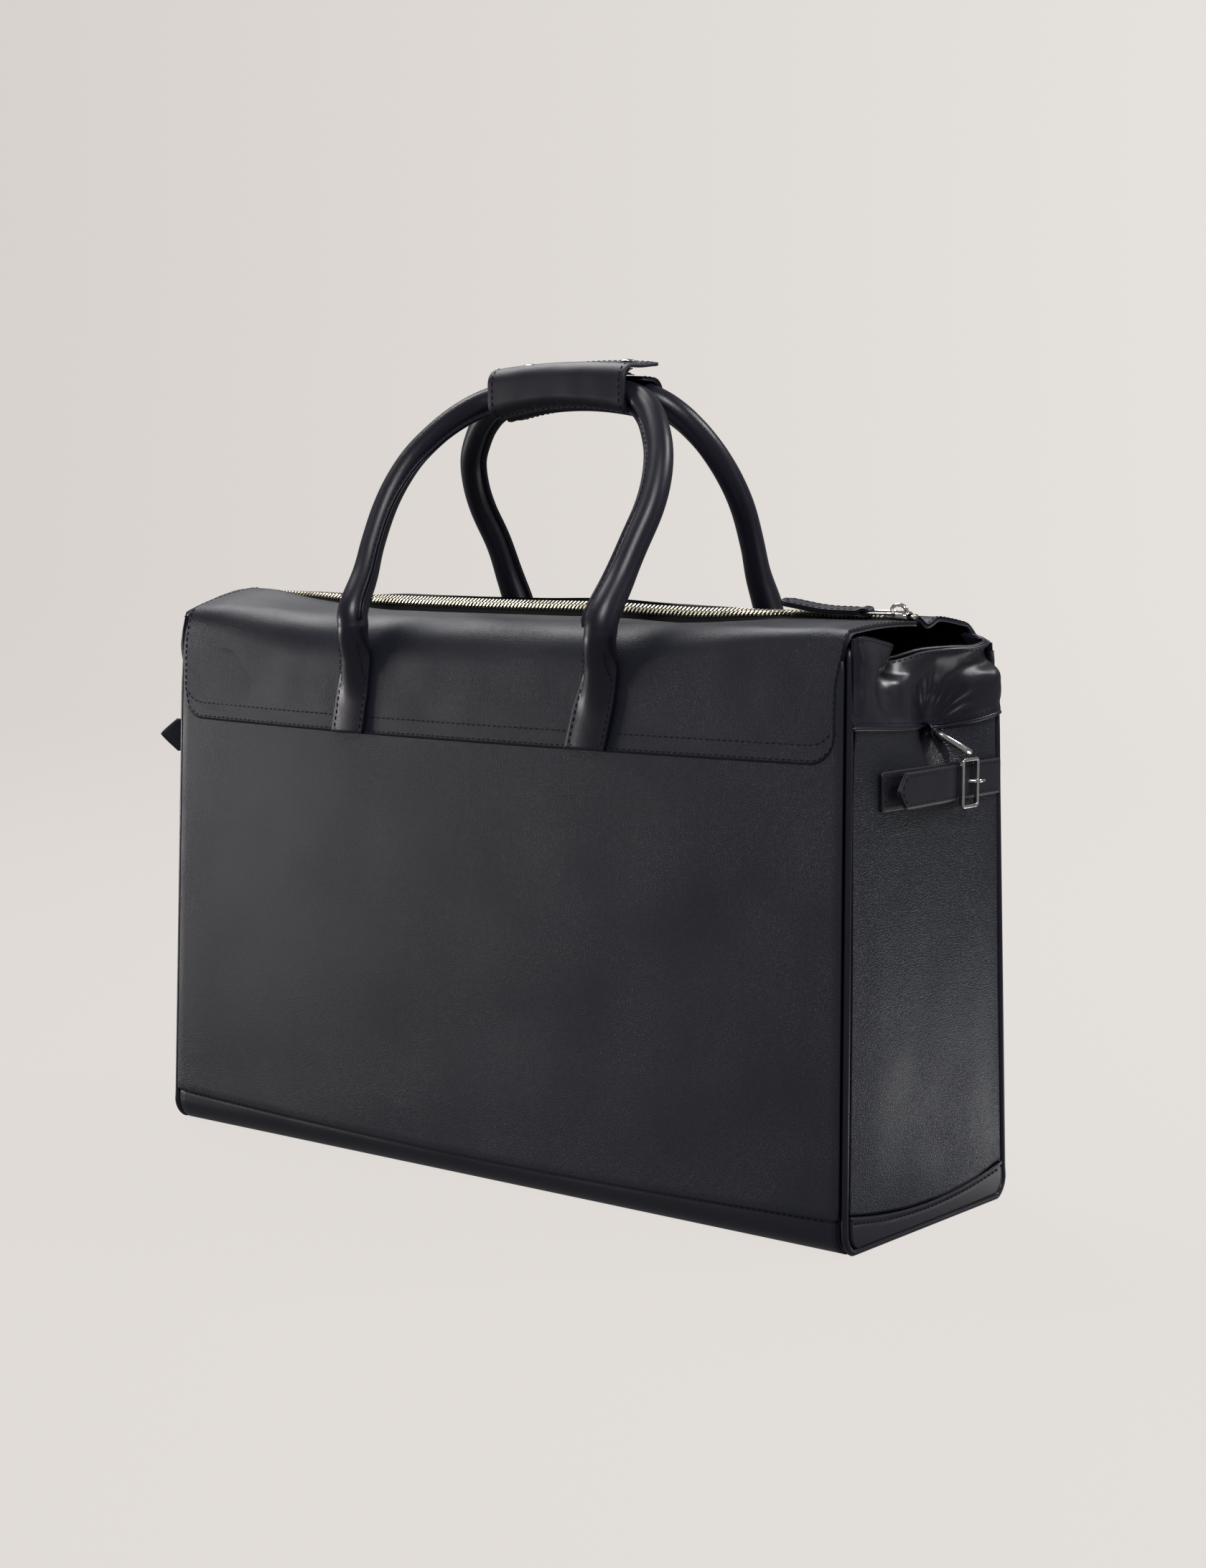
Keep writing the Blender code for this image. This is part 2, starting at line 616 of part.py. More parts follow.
def make_slider():
    """The slider's upper shell with side flanges, its pull link and the leather pull."""
    low = TEETH_HIGH + GAP
    inside = SLIDER_HALF_WIDTH - SLIDER_WALL
    right = [(SLIDER_ROOF_HALF_WIDTH, low + SLIDER_ROOF), (SLIDER_HALF_WIDTH, low + SLIDER_SHOULDER)]
    right += [(SLIDER_HALF_WIDTH, SLIDER_FLANGE_LOW), (inside, SLIDER_FLANGE_LOW), (inside, low)]
    section = right + [(-u, out) for u, out in reversed(right)]
    rings = []
    for k in range(5):
        along = mix(-0.5, 0.5, k / 4)
        narrow = 1.0 if k < 3 else SLIDER_NOSE
        x = SLIDER_X + along * SLIDER_LENGTH
        rings.append([zip_point(x, u * narrow, out) for u, out in section])
    vertices, faces = loft(rings)
    origin = zip_point(SLIDER_X, 0, low)
    add_object("zip_slider", vertices, faces, (PALE_GOLD, 0.25, 1.0), origin, smooth=True)

    hinge = zip_point(PULL_HINGE_X, 0, PULL_HINGE_HEIGHT)
    half = LINK_HALF_WIDTH
    path = arc((half - LINK_LENGTH, 0), half, 90, 270, 7)
    path += [(0.0, -half), (0.0, half)]
    points = [zip_point(PULL_HINGE_X + dx, u, PULL_HINGE_HEIGHT) for dx, u in path]
    vertices, faces = sweep(points, LINK_WIRE, 6, closed=True)
    add_object("pull_link", vertices, faces, (NICKEL, 0.2, 1.0), hinge, smooth=True)

    tab_hinge_x = PULL_HINGE_X - LINK_LENGTH
    start = tab_hinge_x - PULL_START
    end = start - PULL_LENGTH
    outline = [(start, PULL_START_HALF_WIDTH), (start - PULL_TAPER, PULL_WIDTH / 2)]
    outline += [(end + PULL_TAPER, PULL_WIDTH / 2), (end, PULL_TIP_HALF_WIDTH)]
    outline += [(x, -u) for x, u in reversed(outline)]
    rings = []
    for out in (PULL_HINGE_HEIGHT - PULL_BELOW, PULL_HINGE_HEIGHT + PULL_ABOVE):
        rings.append([zip_point(x, u, out) for x, u in outline])
    vertices, faces = loft(rings)
    origin = zip_point(tab_hinge_x, 0, PULL_HINGE_HEIGHT)
    add_object("leather_pull", vertices, faces, (NAVY_SMOOTH, 0.45), origin)


# ---------------------------------------------------------------- handles


def make_handle_tabs():
    """A stitched leather tab over the flap that swells into the end of the rolled handle."""
    for face, side in (("front", -1), ("back", 1)):
        for hand, (low_x, high_x) in TABS[face].items():
            rings = []
            for z in (FLAP_EDGE_Z + 0.0002, 0.287, TAB_BULGE_START_Z, 0.310, 0.322, 0.333, TAB_TOP_Z):
                t = (z - FLAP_EDGE_Z) / (TAB_TOP_Z - FLAP_EDGE_Z)
                swell = smooth_step(TAB_BULGE_START_Z, TAB_TOP_Z, z)
                middle = mix(low_x, high_x, t)
                half = mix(TAB_FACE_WIDTH, TAB_TOP_WIDTH, swell) / 2
                back = half_depth(min(z, FLAP_SHOULDER_Z)) + WALL + GAP
                ring = [Vector((middle + half, side * back, z)), Vector((middle - half, side * back, z))]
                for k in range(9):
                    u = k / 4 - 1
                    bulge = TAB_BULGE * swell * math.cos(u * math.pi / 2) ** 2
                    y = back + TAB_THICKNESS + bulge
                    ring.append(Vector((middle + u * half, side * y, z)))
                rings.append(ring)
            vertices, faces = loft(rings)
            add_object(f"{face}_{hand}_tab", vertices, faces, (NAVY_SMOOTH, 0.4), smooth=True)


def arch_points(face):
    """The whole centre line of one handle, from its left pivot over the grip to its right pivot."""
    side = -1 if face == "front" else 1
    points = []
    for hand, tab, half in ((-1, "left", ARCH[::-1]), (1, "right", ARCH[1:])):
        lean = TABS[face][tab][1] - FOOT_MIDDLE[face] - hand * ARCH_BASE
        for x, y, z in half:
            centre = mix(CROWN_X, FOOT_MIDDLE[face], min(1.0, x / ARCH_BASE) ** 2)
            leant = lean * smooth_step(FOOT_SHIFT_Z, PIVOT_Z, z)
            points.append(Vector((centre + hand * x + leant, side * y, z)))
    return points


def make_handles():
    for face, side in (("front", -1), ("back", 1)):
        path = smooth_path(arch_points(face), 2)
        vertices, faces = sweep(path, TUBE_RADIUS, 10, round_ends=True)
        pivot = (0, side * PIVOT_Y, PIVOT_Z)
        add_object(face + "_handle_tube", vertices, faces, (NAVY_SMOOTH, 0.4), pivot, smooth=True)


def wrap_drop(x):
    middle = (WRAP_LEFT + WRAP_RIGHT) / 2
    return WRAP_ARCH * (x - middle) ** 2


def wrap_grid(profile):
    grid = []
    for k in range(7):
        x = mix(WRAP_LEFT, WRAP_RIGHT, k / 6)
        grid.append([Vector((x, y, z - wrap_drop(x))) for y, z in profile])
    return grid


def make_wrap():
    corner_y = WRAP_HALF_DEPTH - WRAP_CORNER
    profile = [(-0.0008, WRAP_LOW_Z)]
    profile += arc((-corner_y, WRAP_LOW_Z + WRAP_CORNER), WRAP_CORNER, 270, 180, 5)
    profile += arc((-corner_y, WRAP_HIGH_Z - WRAP_CORNER), WRAP_CORNER, 180, 98, 5)
    profile.append((LIP_NEAR_Y - 0.0018, WRAP_HIGH_Z))
    vertices, faces = sheet(wrap_grid(profile), WRAP_WALL)
    front_pivot = (0, -PIVOT_Y, PIVOT_Z)
    add_object("grip_wrap_front", vertices, faces, (NAVY_SMOOTH, 0.45), front_pivot, smooth=True)

    profile = [(0.0008, WRAP_LOW_Z)]
    profile += arc((corner_y, WRAP_LOW_Z + WRAP_CORNER), WRAP_CORNER, 270, 360, 5)
    profile += arc((corner_y, BACK_SHELL_HIGH_Z - WRAP_CORNER), WRAP_CORNER, 0, 82, 5)
    profile.append((0.0015, BACK_SHELL_HIGH_Z))
    vertices, faces = sheet(wrap_grid(profile), -WRAP_WALL)
    back_pivot = (0, PIVOT_Y, PIVOT_Z)
    add_object("grip_wrap_back", vertices, faces, (NAVY_SMOOTH, 0.45), back_pivot, smooth=True)

    steps = 4
    profile = []
    for k in range(steps + 1):
        profile.append((mix(LIP_NEAR_Y, LIP_FAR_Y, k / steps), WRAP_HIGH_Z))
    vertices, faces = sheet(wrap_grid(profile), LIP_WALL)
    lip_hinge = (0, LIP_NEAR_Y, WRAP_HIGH_Z - LIP_WALL / 2)
    add_object("grip_wrap_lip", vertices, faces, (NAVY_SMOOTH, 0.45), lip_hinge)

    for hand, x in zip(("left", "right"), SNAP_X):
        slope = math.atan(2 * WRAP_ARCH * (x - (WRAP_LEFT + WRAP_RIGHT) / 2))
        turn = Matrix.Rotation(slope, 3, "Y")
        top = Vector((x, SNAP_Y, WRAP_HIGH_Z - wrap_drop(x) + GAP))
        rings = []
        for height, size in ((0.0, 1.0), (0.45, 0.97), (0.85, 0.7), (1.0, 0.3)):
            ring = []
            for px, py in arc((0, 0), SNAP_RADIUS * size, 0, 330, 11):
                ring.append(top + turn @ Vector((px, py, height * SNAP_HEIGHT)))
            rings.append(ring)
        vertices, faces = loft(rings)
        add_object(f"snap_cap_{hand}", vertices, faces, (NICKEL, 0.15, 1.0), lip_hinge, smooth=True)
        top.z = BACK_SHELL_HIGH_Z - wrap_drop(x) + GAP
        rings = []
        for height, size in ((0.0, 0.0040), (0.0006, 0.0040), (0.0007, 0.0020), (0.0014, 0.0018)):
            ring = []
            for px, py in arc((0, 0), size, 0, 315, 7):
                ring.append(top + turn @ Vector((px, py, height)))
            rings.append(ring)
        vertices, faces = loft(rings)
        add_object(f"snap_stud_{hand}", vertices, faces, (NICKEL, 0.2, 1.0), back_pivot)


# ---------------------------------------------------------------- end straps


def end_point(y, out, z):
    return Vector((STRAP_FACE_X + out, y, z))


def strap_sheet(path, thickness, width=STRAP_WIDTH, steps=2):
    """A strap that follows a path in the end's two local coordinates, as wide as the strap in Z."""
    grid = []
    for k in range(steps + 1):
        z = STRAP_Z + width * (k / steps - 0.5)
        grid.append([end_point(y, out, z) for y, out in path])
    return sheet(grid, thickness)


def make_fixed_strap(hand, shift, mirror):
    """The stitched strap, which turns round the buckle's heel bar and back over itself."""
    heel = HEEL_Y - shift
    path = [(STRAP_START_Y, LOOP_WALL + GAP), (heel - LOOP_REACH[0], LOOP_WALL + 2 * GAP)]
    path += arc((heel, BUCKLE_OUT), LOOP_RADIUS, 270, 450, 8)
    path.append((heel - LOOP_REACH[1], BUCKLE_OUT + LOOP_RADIUS))
    vertices, faces = strap_sheet(path, -LOOP_WALL)
    name = hand + "_fixed_strap"
    strap = add_object(name, vertices, faces, (NAVY_SMOOTH, 0.4), mirror=mirror)
    side = -1 if mirror else 1
    slot_x = sorted((side * (STRAP_FACE_X + 0.0001), side * (STRAP_FACE_X + 0.0120)))
    low = (slot_x[0], heel + LOOP_SLOT[0], STRAP_Z - LOOP_SLOT_HALF)
    high = (slot_x[1], heel + LOOP_SLOT[1], STRAP_Z + LOOP_SLOT_HALF)
    cut_box(strap, low, high)


def make_buckle(hand, shift, mirror):
    """A rectangular frame; its heel bar is nearer the middle of the end, its tip bar nearer the back."""
    low_y = HEEL_Y - shift - BUCKLE_BAR / 2
    high_y = TIP_BAR_Y - shift + BUCKLE_BAR / 2
    rings = []
    for inset, out in (
        (0.0, BUCKLE_OUT - BUCKLE_DEPTH / 2),
        (0.0, BUCKLE_OUT + BUCKLE_DEPTH / 2),
        (BUCKLE_BAR, BUCKLE_OUT + BUCKLE_DEPTH / 2),
        (BUCKLE_BAR, BUCKLE_OUT - BUCKLE_DEPTH / 2),
    ):
        radius = 0.0024 - 0.7 * inset
        y0, y1 = low_y + inset + radius, high_y - inset - radius
        z0 = BUCKLE_Z - BUCKLE_HEIGHT / 2 + inset + radius
        z1 = BUCKLE_Z + BUCKLE_HEIGHT / 2 - inset - radius
        ring = []
        for centre, start in (((y1, z1), 0), ((y0, z1), 90), ((y0, z0), 180), ((y1, z0), 270)):
            ring += arc(centre, radius, start, start + 90, 2)
        rings.append([end_point(y, out, z) for y, z in ring])
    vertices, faces = loft(rings, closed=True)
    add_object(hand + "_buckle", vertices, faces, (NICKEL, 0.12, 1.0), mirror=mirror)


def make_prong(hand, shift, mirror):
    """A wire hooked round the heel bar that comes up through the billet and lies on the tip bar."""
    heel = HEEL_Y - shift
    tip = TIP_BAR_Y - shift
    path = arc((heel, BUCKLE_OUT), PRONG_HOOK, 130, 345, 7)
    over = BUCKLE_OUT + BUCKLE_DEPTH / 2 + GAP + PRONG_RADIUS
    path += [(heel + PRONG_DIP, BUCKLE_OUT - 0.0002), (tip - PRONG_END / 2, over - 0.0005)]
    path += [(tip, over), (tip + PRONG_END, over)]
    points = [end_point(y, out, STRAP_Z) for y, out in path]
    vertices, faces = sweep(points, PRONG_RADIUS, 6, round_ends=True)
    origin = end_point(heel, BUCKLE_OUT, STRAP_Z)
    look = (NICKEL, 0.12, 1.0)
    add_object(hand + "_prong", vertices, faces, look, origin, mirror=mirror, smooth=True)


def make_billet(hand, shift, mirror):
    """The strap from the back seam: under the tip bar, up over the heel bar, then a free pointed tip."""
    heel = HEEL_Y - shift
    tip = TIP_BAR_Y - shift
    path = [(BILLET_END_Y, BILLET_LIFT + STRAP_WALL)]
    path += [(tip + y, out + STRAP_WALL) for y, out in BILLET_AT_TIP_BAR]
    path += [(heel + y, BILLET_HIGH + out) for y, out in BILLET_AT_HEEL_BAR]
    split = BILLET_SPLIT_Y - shift
    path.append((split, BILLET_HIGH + BILLET_LIFT))
    vertices, faces = strap_sheet(path, STRAP_WALL)
    billet = add_object(hand + "_billet", vertices, faces, (NAVY_SMOOTH, 0.4), mirror=mirror)
    side = -1 if mirror else 1
    slot_x = sorted((side * (STRAP_FACE_X - 0.0020), side * (STRAP_FACE_X + 0.0140)))
    cut_box(
        billet,
        (slot_x[0], tip + BILLET_SLOT[0], STRAP_Z - BILLET_SLOT_HALF),
        (slot_x[1], tip + BILLET_SLOT[1], STRAP_Z + BILLET_SLOT_HALF),
    )

    stand_off = TIP_STAND_OFF[hand]
    start = split - TIP_GAP
    grid = []
    for u in (-1, -0.5, 0, 0.5, 1):
        row = []
        for k in range(8):
            t = k / 7
            point = TIP_POINT * abs(u) ** 1.3
            y = start - t * (TIP_LENGTH - point)
            along = (start - y) / TIP_LENGTH
            out = BILLET_HIGH + BILLET_LIFT + stand_off * along**1.6
            z = STRAP_Z + TIP_RISE[hand] * along + u * STRAP_WIDTH / 2
            row.append(end_point(y, out, z))
        grid.append(row)
    vertices, faces = sheet(grid, STRAP_WALL)
    origin = end_point(split - TIP_GAP / 2, BILLET_HIGH + BILLET_LIFT - STRAP_WALL / 2, STRAP_Z)
    add_object(hand + "_billet_tip", vertices, faces, (NAVY_SMOOTH, 0.4), origin, mirror=mirror)


def make_ring(hand, mirror):
    """The D-ring in its leather loop at the bottom of the pinched fold."""
    outward = Vector((math.cos(RING_TURN), math.sin(RING_TURN), 0))
    across = Vector((-math.sin(RING_TURN), math.cos(RING_TURN), 0))
    down = outward * math.cos(RING_SLOPE) + Vector((0, 0, -math.sin(RING_SLOPE)))
    straight = RING_LENGTH - RING_HALF_WIDTH
    flat = [(0.0, -0.8), (0.0, 0.8), (0.0015, 1.0), (straight / 2, 1.0)]
    for k in range(7):
        angle = math.pi * k / 6
        flat.append((straight + RING_HALF_WIDTH * math.sin(angle), math.cos(angle)))
    flat += [(straight / 2, -1.0), (0.0015, -1.0)]
    points = [RING_BAR + down * s + across * (w * RING_HALF_WIDTH) for s, w in flat]
    vertices, faces = sweep(points, RING_WIRE, 6, closed=True)
    look = (NICKEL, 0.12, 1.0)
    add_object(hand + "_ring", vertices, faces, look, RING_BAR, mirror=mirror, smooth=True)

    profile = [(-0.0052, 0.0110), (-0.0046, 0.0050)]
    profile += arc((0, 0), RING_WIRE + GAP + RING_LOOP_WALL, 155, 435, 12)
    grid = []
    for width in (-RING_LOOP_HALF, 0, RING_LOOP_HALF):
        middle = RING_BAR + across * width
        grid.append([middle + outward * out + Vector((0, 0, up)) for out, up in profile])
    vertices, faces = sheet(grid, RING_LOOP_WALL)
    add_object(hand + "_ring_loop", vertices, faces, (NAVY_SMOOTH, 0.4), mirror=mirror)


def make_end_hardware():
    for hand, mirror in (("right", False), ("left", True)):
        shift = STRAP_SHIFT[hand]
        make_fixed_strap(hand, shift, mirror)
        make_buckle(hand, shift, mirror)
        make_prong(hand, shift, mirror)
        make_billet(hand, shift, mirror)
        make_ring(hand, mirror)


clear_scene()
make_long_panels()
make_linings()
make_base()
make_ends()
make_piping()
make_flaps()
make_zip()
make_slider()
make_handle_tabs()
make_handles()
make_wrap()
make_end_hardware()
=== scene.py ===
"""The looks of a navy leather garment bag: a boxy holdall with a top zip between two flaps, rolled handles
in a snap-closed grip wrap, and a buckled strap with a D-ring on each end.

Metres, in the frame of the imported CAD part: +X towards the closed zip slider, -Y the front face, +Z up.
"""

import math

import bmesh
import bpy
import numpy as np
from mathutils import Matrix, Vector, noise


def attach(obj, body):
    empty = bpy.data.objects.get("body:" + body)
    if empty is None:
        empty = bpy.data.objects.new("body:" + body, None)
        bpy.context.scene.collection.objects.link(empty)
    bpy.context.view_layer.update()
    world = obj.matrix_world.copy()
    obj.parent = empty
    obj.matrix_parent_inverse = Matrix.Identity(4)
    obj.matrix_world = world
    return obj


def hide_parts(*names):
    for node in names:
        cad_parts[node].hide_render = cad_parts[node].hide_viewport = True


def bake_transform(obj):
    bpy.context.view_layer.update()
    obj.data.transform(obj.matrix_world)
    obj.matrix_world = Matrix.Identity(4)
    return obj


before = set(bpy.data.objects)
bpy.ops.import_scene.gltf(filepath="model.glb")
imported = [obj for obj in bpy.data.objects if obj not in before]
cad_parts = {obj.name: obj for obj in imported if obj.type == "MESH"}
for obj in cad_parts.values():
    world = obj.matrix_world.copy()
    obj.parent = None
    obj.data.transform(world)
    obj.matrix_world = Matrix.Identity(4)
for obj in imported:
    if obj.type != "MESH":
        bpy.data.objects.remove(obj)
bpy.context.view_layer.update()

# ---------------------------------------------------------------- sizes shared with the CAD part

LENGTH = 0.550
DEPTH = 0.1755
END_TAPER = 0.017
SIDE_TAPER = 0.0265
WALL = 0.0028
EDGE_RADIUS = 0.014
BAND_Z = 0.025
FRONT_SEAM_SAG = 0.006
END_SEAM_SAG = 0.0085
PIPING_RADIUS = 0.00205
PIPING_INSET = 0.001
CORNER_CLEARANCE = 0.0034
ZIP_LEFT = Vector((-0.262, 0, 0.3586))
ZIP_RIGHT = Vector((0.255, 0, 0.3536))
ZIP_LINE = (
    (-0.2614, 0.3582), (-0.2268, 0.3574), (-0.1588, 0.3556), (-0.1078, 0.3551), (-0.0519, 0.3546),
    (0.0176, 0.3549), (0.0494, 0.3544), (0.0809, 0.3535), (0.1052, 0.3529), (0.1507, 0.3536),
    (0.1737, 0.3540), (0.2550, 0.3536),
)
TOOTH_PITCH = 0.003
TEETH_END_X = 0.241
PIVOT_Y = 0.0885
PIVOT_Z = 0.351
TUBE_RADIUS = 0.0078
FLAP_STAND_OFF = 0.0031
STITCH_PITCH = 0.0042
STITCH_LENGTH = 0.0031
STITCH_RADIUS = 0.00038


def half_length(z):
    return LENGTH / 2 - END_TAPER * z


def half_depth(z):
    return DEPTH / 2 - SIDE_TAPER * z


def mix(a, b, t):
    return a + (b - a) * t


def smooth_step(low, high, value):
    t = min(1.0, max(0.0, (value - low) / (high - low)))
    return t * t * (3 - 2 * t)


def bell(value, centre, width):
    return math.exp(-(((value - centre) / width) ** 2))


def wobble(x, y, z, seed=0.0):
    """Smooth noise between about -1 and 1, the same at every run."""
    return noise.noise(Vector((x + seed, y - seed, z + 2 * seed)))


# ---------------------------------------------------------------- materials

NAVY_GRAIN = (0.0088, 0.0096, 0.0180)
NAVY_SMOOTH = (0.0078, 0.0068, 0.0150)
THREAD = (0.0045, 0.0050, 0.0150)
EDGE_PAINT = (0.0100, 0.0105, 0.0160)
LINING = (0.012, 0.012, 0.015)
TAPE = (0.006, 0.006, 0.008)
NICKEL = (0.80, 0.78, 0.74)
PALE_GOLD = (0.70, 0.64, 0.49)


class Nodes:
    """A Principled material and short calls that add nodes to it."""

    def __init__(self, name, roughness, metallic=0.0, specular=0.5):
        self.material = bpy.data.materials.new(name)
        self.material.use_nodes = True
        self.tree = self.material.node_tree
        self.shader = self.tree.nodes["Principled BSDF"]
        self.shader.inputs["Roughness"].default_value = roughness
        self.shader.inputs["Metallic"].default_value = metallic
        self.shader.inputs["Specular IOR Level"].default_value = specular
        self.place = self.add("ShaderNodeTexCoord").outputs["Object"]

    def add(self, kind, **settings):
        node = self.tree.nodes.new(kind)
        for key, value in settings.items():
            setattr(node, key, value)
        return node

    def link(self, source, target):
        self.tree.links.new(source, target)

    def scaled(self, scale):
        """Object coordinates stretched by a scale along each axis."""
        mapping = self.add("ShaderNodeMapping")
        mapping.inputs["Scale"].default_value = scale
        self.link(self.place, mapping.inputs["Vector"])
        return mapping.outputs["Vector"]

    def noise(self, scale, detail=3.0, place=None):
        node = self.add("ShaderNodeTexNoise")
        node.inputs["Scale"].default_value = scale
        node.inputs["Detail"].default_value = detail
        self.link(place or self.place, node.inputs["Vector"])
        return node.outputs["Fac"]

    def spread(self, value, low, high, start=0.0, end=1.0):
        node = self.add("ShaderNodeMapRange")
        for key, number in (("From Min", start), ("From Max", end), ("To Min", low), ("To Max", high)):
            node.inputs[key].default_value = number
        self.link(value, node.inputs["Value"])
        return node.outputs["Result"]

    def maths(self, operation, a, b):
        node = self.add("ShaderNodeMath", operation=operation)
        for socket, value in zip(node.inputs, (a, b)):
            if isinstance(value, (int, float)):
                socket.default_value = value
            else:
                self.link(value, socket)
        return node.outputs["Value"]

    def blend(self, factor, a, b):
        """A colour between two, by a factor."""
        node = self.add("ShaderNodeMix", data_type="RGBA")
        self.link(factor, node.inputs["Factor"])
        node.inputs[6].default_value = (*a, 1)
        node.inputs[7].default_value = (*b, 1)
        return node.outputs[2]

    def colour(self, socket):
        self.link(socket, self.shader.inputs["Base Color"])

    def rough(self, socket):
        self.link(socket, self.shader.inputs["Roughness"])

    def bump(self, height, distance, strength=1.0):
        node = self.add("ShaderNodeBump")
        node.inputs["Strength"].default_value = strength
        node.inputs["Distance"].default_value = distance
        self.link(height, node.inputs["Height"])
        self.link(node.outputs["Normal"], self.shader.inputs["Normal"])


def lighter(colour, factor):
    return tuple(channel * factor for channel in colour)


def leather(name, colour, cell, relief, roughness, crease=0.0, vary=0.25):
    """Leather with pebbles of a cell size, fine pores, soft tone variation and a painted highlight along
    convex edges.
    """
    look = Nodes(name, roughness)
    warp = look.add("ShaderNodeTexNoise")
    warp.inputs["Scale"].default_value = 0.35 / cell
    look.link(look.place, warp.inputs["Vector"])
    bend = look.add("ShaderNodeVectorMath", operation="SCALE")
    look.link(warp.outputs["Color"], bend.inputs[0])
    bend.inputs["Scale"].default_value = cell * 0.7
    moved = look.add("ShaderNodeVectorMath", operation="ADD")
    look.link(look.place, moved.inputs[0])
    look.link(bend.outputs["Vector"], moved.inputs[1])
    pebble = look.add("ShaderNodeTexVoronoi", feature="DISTANCE_TO_EDGE")
    pebble.inputs["Scale"].default_value = 1 / cell
    look.link(moved.outputs["Vector"], pebble.inputs["Vector"])
    dome = look.spread(pebble.outputs["Distance"], 0.0, 1.0, 0.0, 0.28)
    patches = look.noise(14.0, 2.0)
    strength = look.spread(patches, 0.55, 1.15, 0.35, 0.65)
    height = look.maths("MULTIPLY", dome, strength)
    pores = look.noise(2.6 / cell, 2.0)
    height = look.maths("ADD", height, look.maths("MULTIPLY", pores, 0.35))
    if crease:
        lines = look.noise(1.0, 3.0, look.scaled((420.0, 420.0, 120.0)))
        height = look.maths("ADD", height, look.maths("MULTIPLY", lines, crease))
    look.bump(height, relief)
    look.rough(look.spread(patches, roughness - 0.03, roughness + 0.03, 0.3, 0.7))
    tone = look.noise(6.0, 2.0)
    edge = look.add("ShaderNodeNewGeometry").outputs["Pointiness"]
    # Convex edges are painted paler: a painted highlight where the edges catch the light.
    edge_highlight = look.spread(edge, 0.0, 0.55, 0.52, 0.62)
    mixed = look.maths("ADD", look.spread(tone, 0.0, 0.3, 0.35, 0.7), edge_highlight)
    look.colour(look.blend(mixed, colour, lighter(colour, 1 + 2.4 * vary)))
    return look.material


def metal(name, colour, roughness):
    """Polished metal with faint hairlines and a slightly uneven polish."""
    look = Nodes(name, roughness, metallic=1.0)
    hairs = look.noise(1.0, 4.0, look.scaled((900.0, 900.0, 5000.0)))
    look.bump(hairs, 0.000008)
    haze = look.noise(180.0, 3.0)
    look.rough(look.spread(haze, roughness - 0.05, roughness + 0.10, 0.3, 0.7))
    look.colour(look.blend(haze, lighter(colour, 0.86), colour))
    return look.material


def weave(name, colour, pitch, roughness=0.85):
    """A plain weave: two sets of threads that pass over each other."""
    look = Nodes(name, roughness, specular=0.3)
    waves = []
    for direction in ("X", "Z"):
        wave = look.add("ShaderNodeTexWave", bands_direction=direction)
        wave.inputs["Scale"].default_value = 0.314 / pitch
        wave.inputs["Distortion"].default_value = 0.4
        look.link(look.place, wave.inputs["Vector"])
        waves.append(wave.outputs["Fac"])
    height = look.maths("MULTIPLY", waves[0], waves[1])
    look.bump(height, pitch * 0.3)
    # The colour follows the weave's height: painted shade in the hollows between threads and a painted
    # highlight where they cross.
    look.colour(look.blend(height, lighter(colour, 0.7), lighter(colour, 1.5)))
    return look.material


def thread_look():
    look = Nodes("thread", 0.7, specular=0.25)
    twist = look.add("ShaderNodeTexWave", bands_direction="DIAGONAL")
    twist.inputs["Scale"].default_value = 700.0
    look.link(look.place, twist.inputs["Vector"])
    look.bump(twist.outputs["Fac"], 0.00008)
    # The colour follows the twist: a painted highlight on its ridges and painted shade between them.
    look.colour(look.blend(twist.outputs["Fac"], THREAD, lighter(THREAD, 1.6)))
    return look.material


def board_look():
    look = Nodes("board", 0.9, specular=0.2)
    fibres = look.noise(400.0, 5.0)
    look.bump(fibres, 0.0001)
    look.colour(look.blend(fibres, (0.010, 0.010, 0.011), (0.03, 0.03, 0.03)))
    return look.material


GRAIN_FRONT = leather("grain_front", NAVY_GRAIN, 0.00115, 0.00008, 0.46)
GRAIN_END = leather("grain_end", NAVY_GRAIN, 0.00150, 0.00017, 0.42)
SMOOTH = leather("smooth_leather", NAVY_SMOOTH, 0.0007, 0.00002, 0.36, crease=0.3)
STRAP = leather("strap_leather", NAVY_SMOOTH, 0.0007, 0.00002, 0.44, crease=0.2)
WRAP = leather("wrap_leather", NAVY_SMOOTH, 0.0007, 0.00002, 0.50, crease=0.2)
HANDLE = leather("handle_leather", NAVY_SMOOTH, 0.0008, 0.000025, 0.33, crease=0.4)
PIPING = leather("piping_leather", NAVY_SMOOTH, 0.0008, 0.00002, 0.34, crease=0.2)
PAINTED = leather("painted_edge", EDGE_PAINT, 0.0012, 0.00002, 0.30)
CLOTH = weave("lining_cloth", LINING, 0.0006)
TAPE_LOOK = weave("zip_tape", TAPE, 0.0005)
THREAD_LOOK = thread_look()
NICKEL_LOOK = metal("nickel", NICKEL, 0.12)
GOLD_LOOK = metal("pale_gold", PALE_GOLD, 0.24)
BOARD_LOOK = board_look()

# ---------------------------------------------------------------- mesh helpers


def make_object(name, vertices, faces, look, smooth=True):
    mesh = bpy.data.meshes.new(name)
    mesh.from_pydata([tuple(v) for v in vertices], [], faces)
    shape = bmesh.new()
    shape.from_mesh(mesh)
    bmesh.ops.recalc_face_normals(shape, faces=shape.faces)
    shape.to_mesh(mesh)
    shape.free()
    if smooth:
        mesh.shade_smooth()
    mesh.materials.append(look)
    obj = bpy.data.objects.new(name, mesh)
    bpy.context.scene.collection.objects.link(obj)
    return obj


def place(obj, body, slot, *nodes):
    """Puts a piece on its body and hides the CAD nodes it stands for. Its slot is not used."""
    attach(obj, body)
    if nodes:
        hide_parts(*nodes)
    return obj


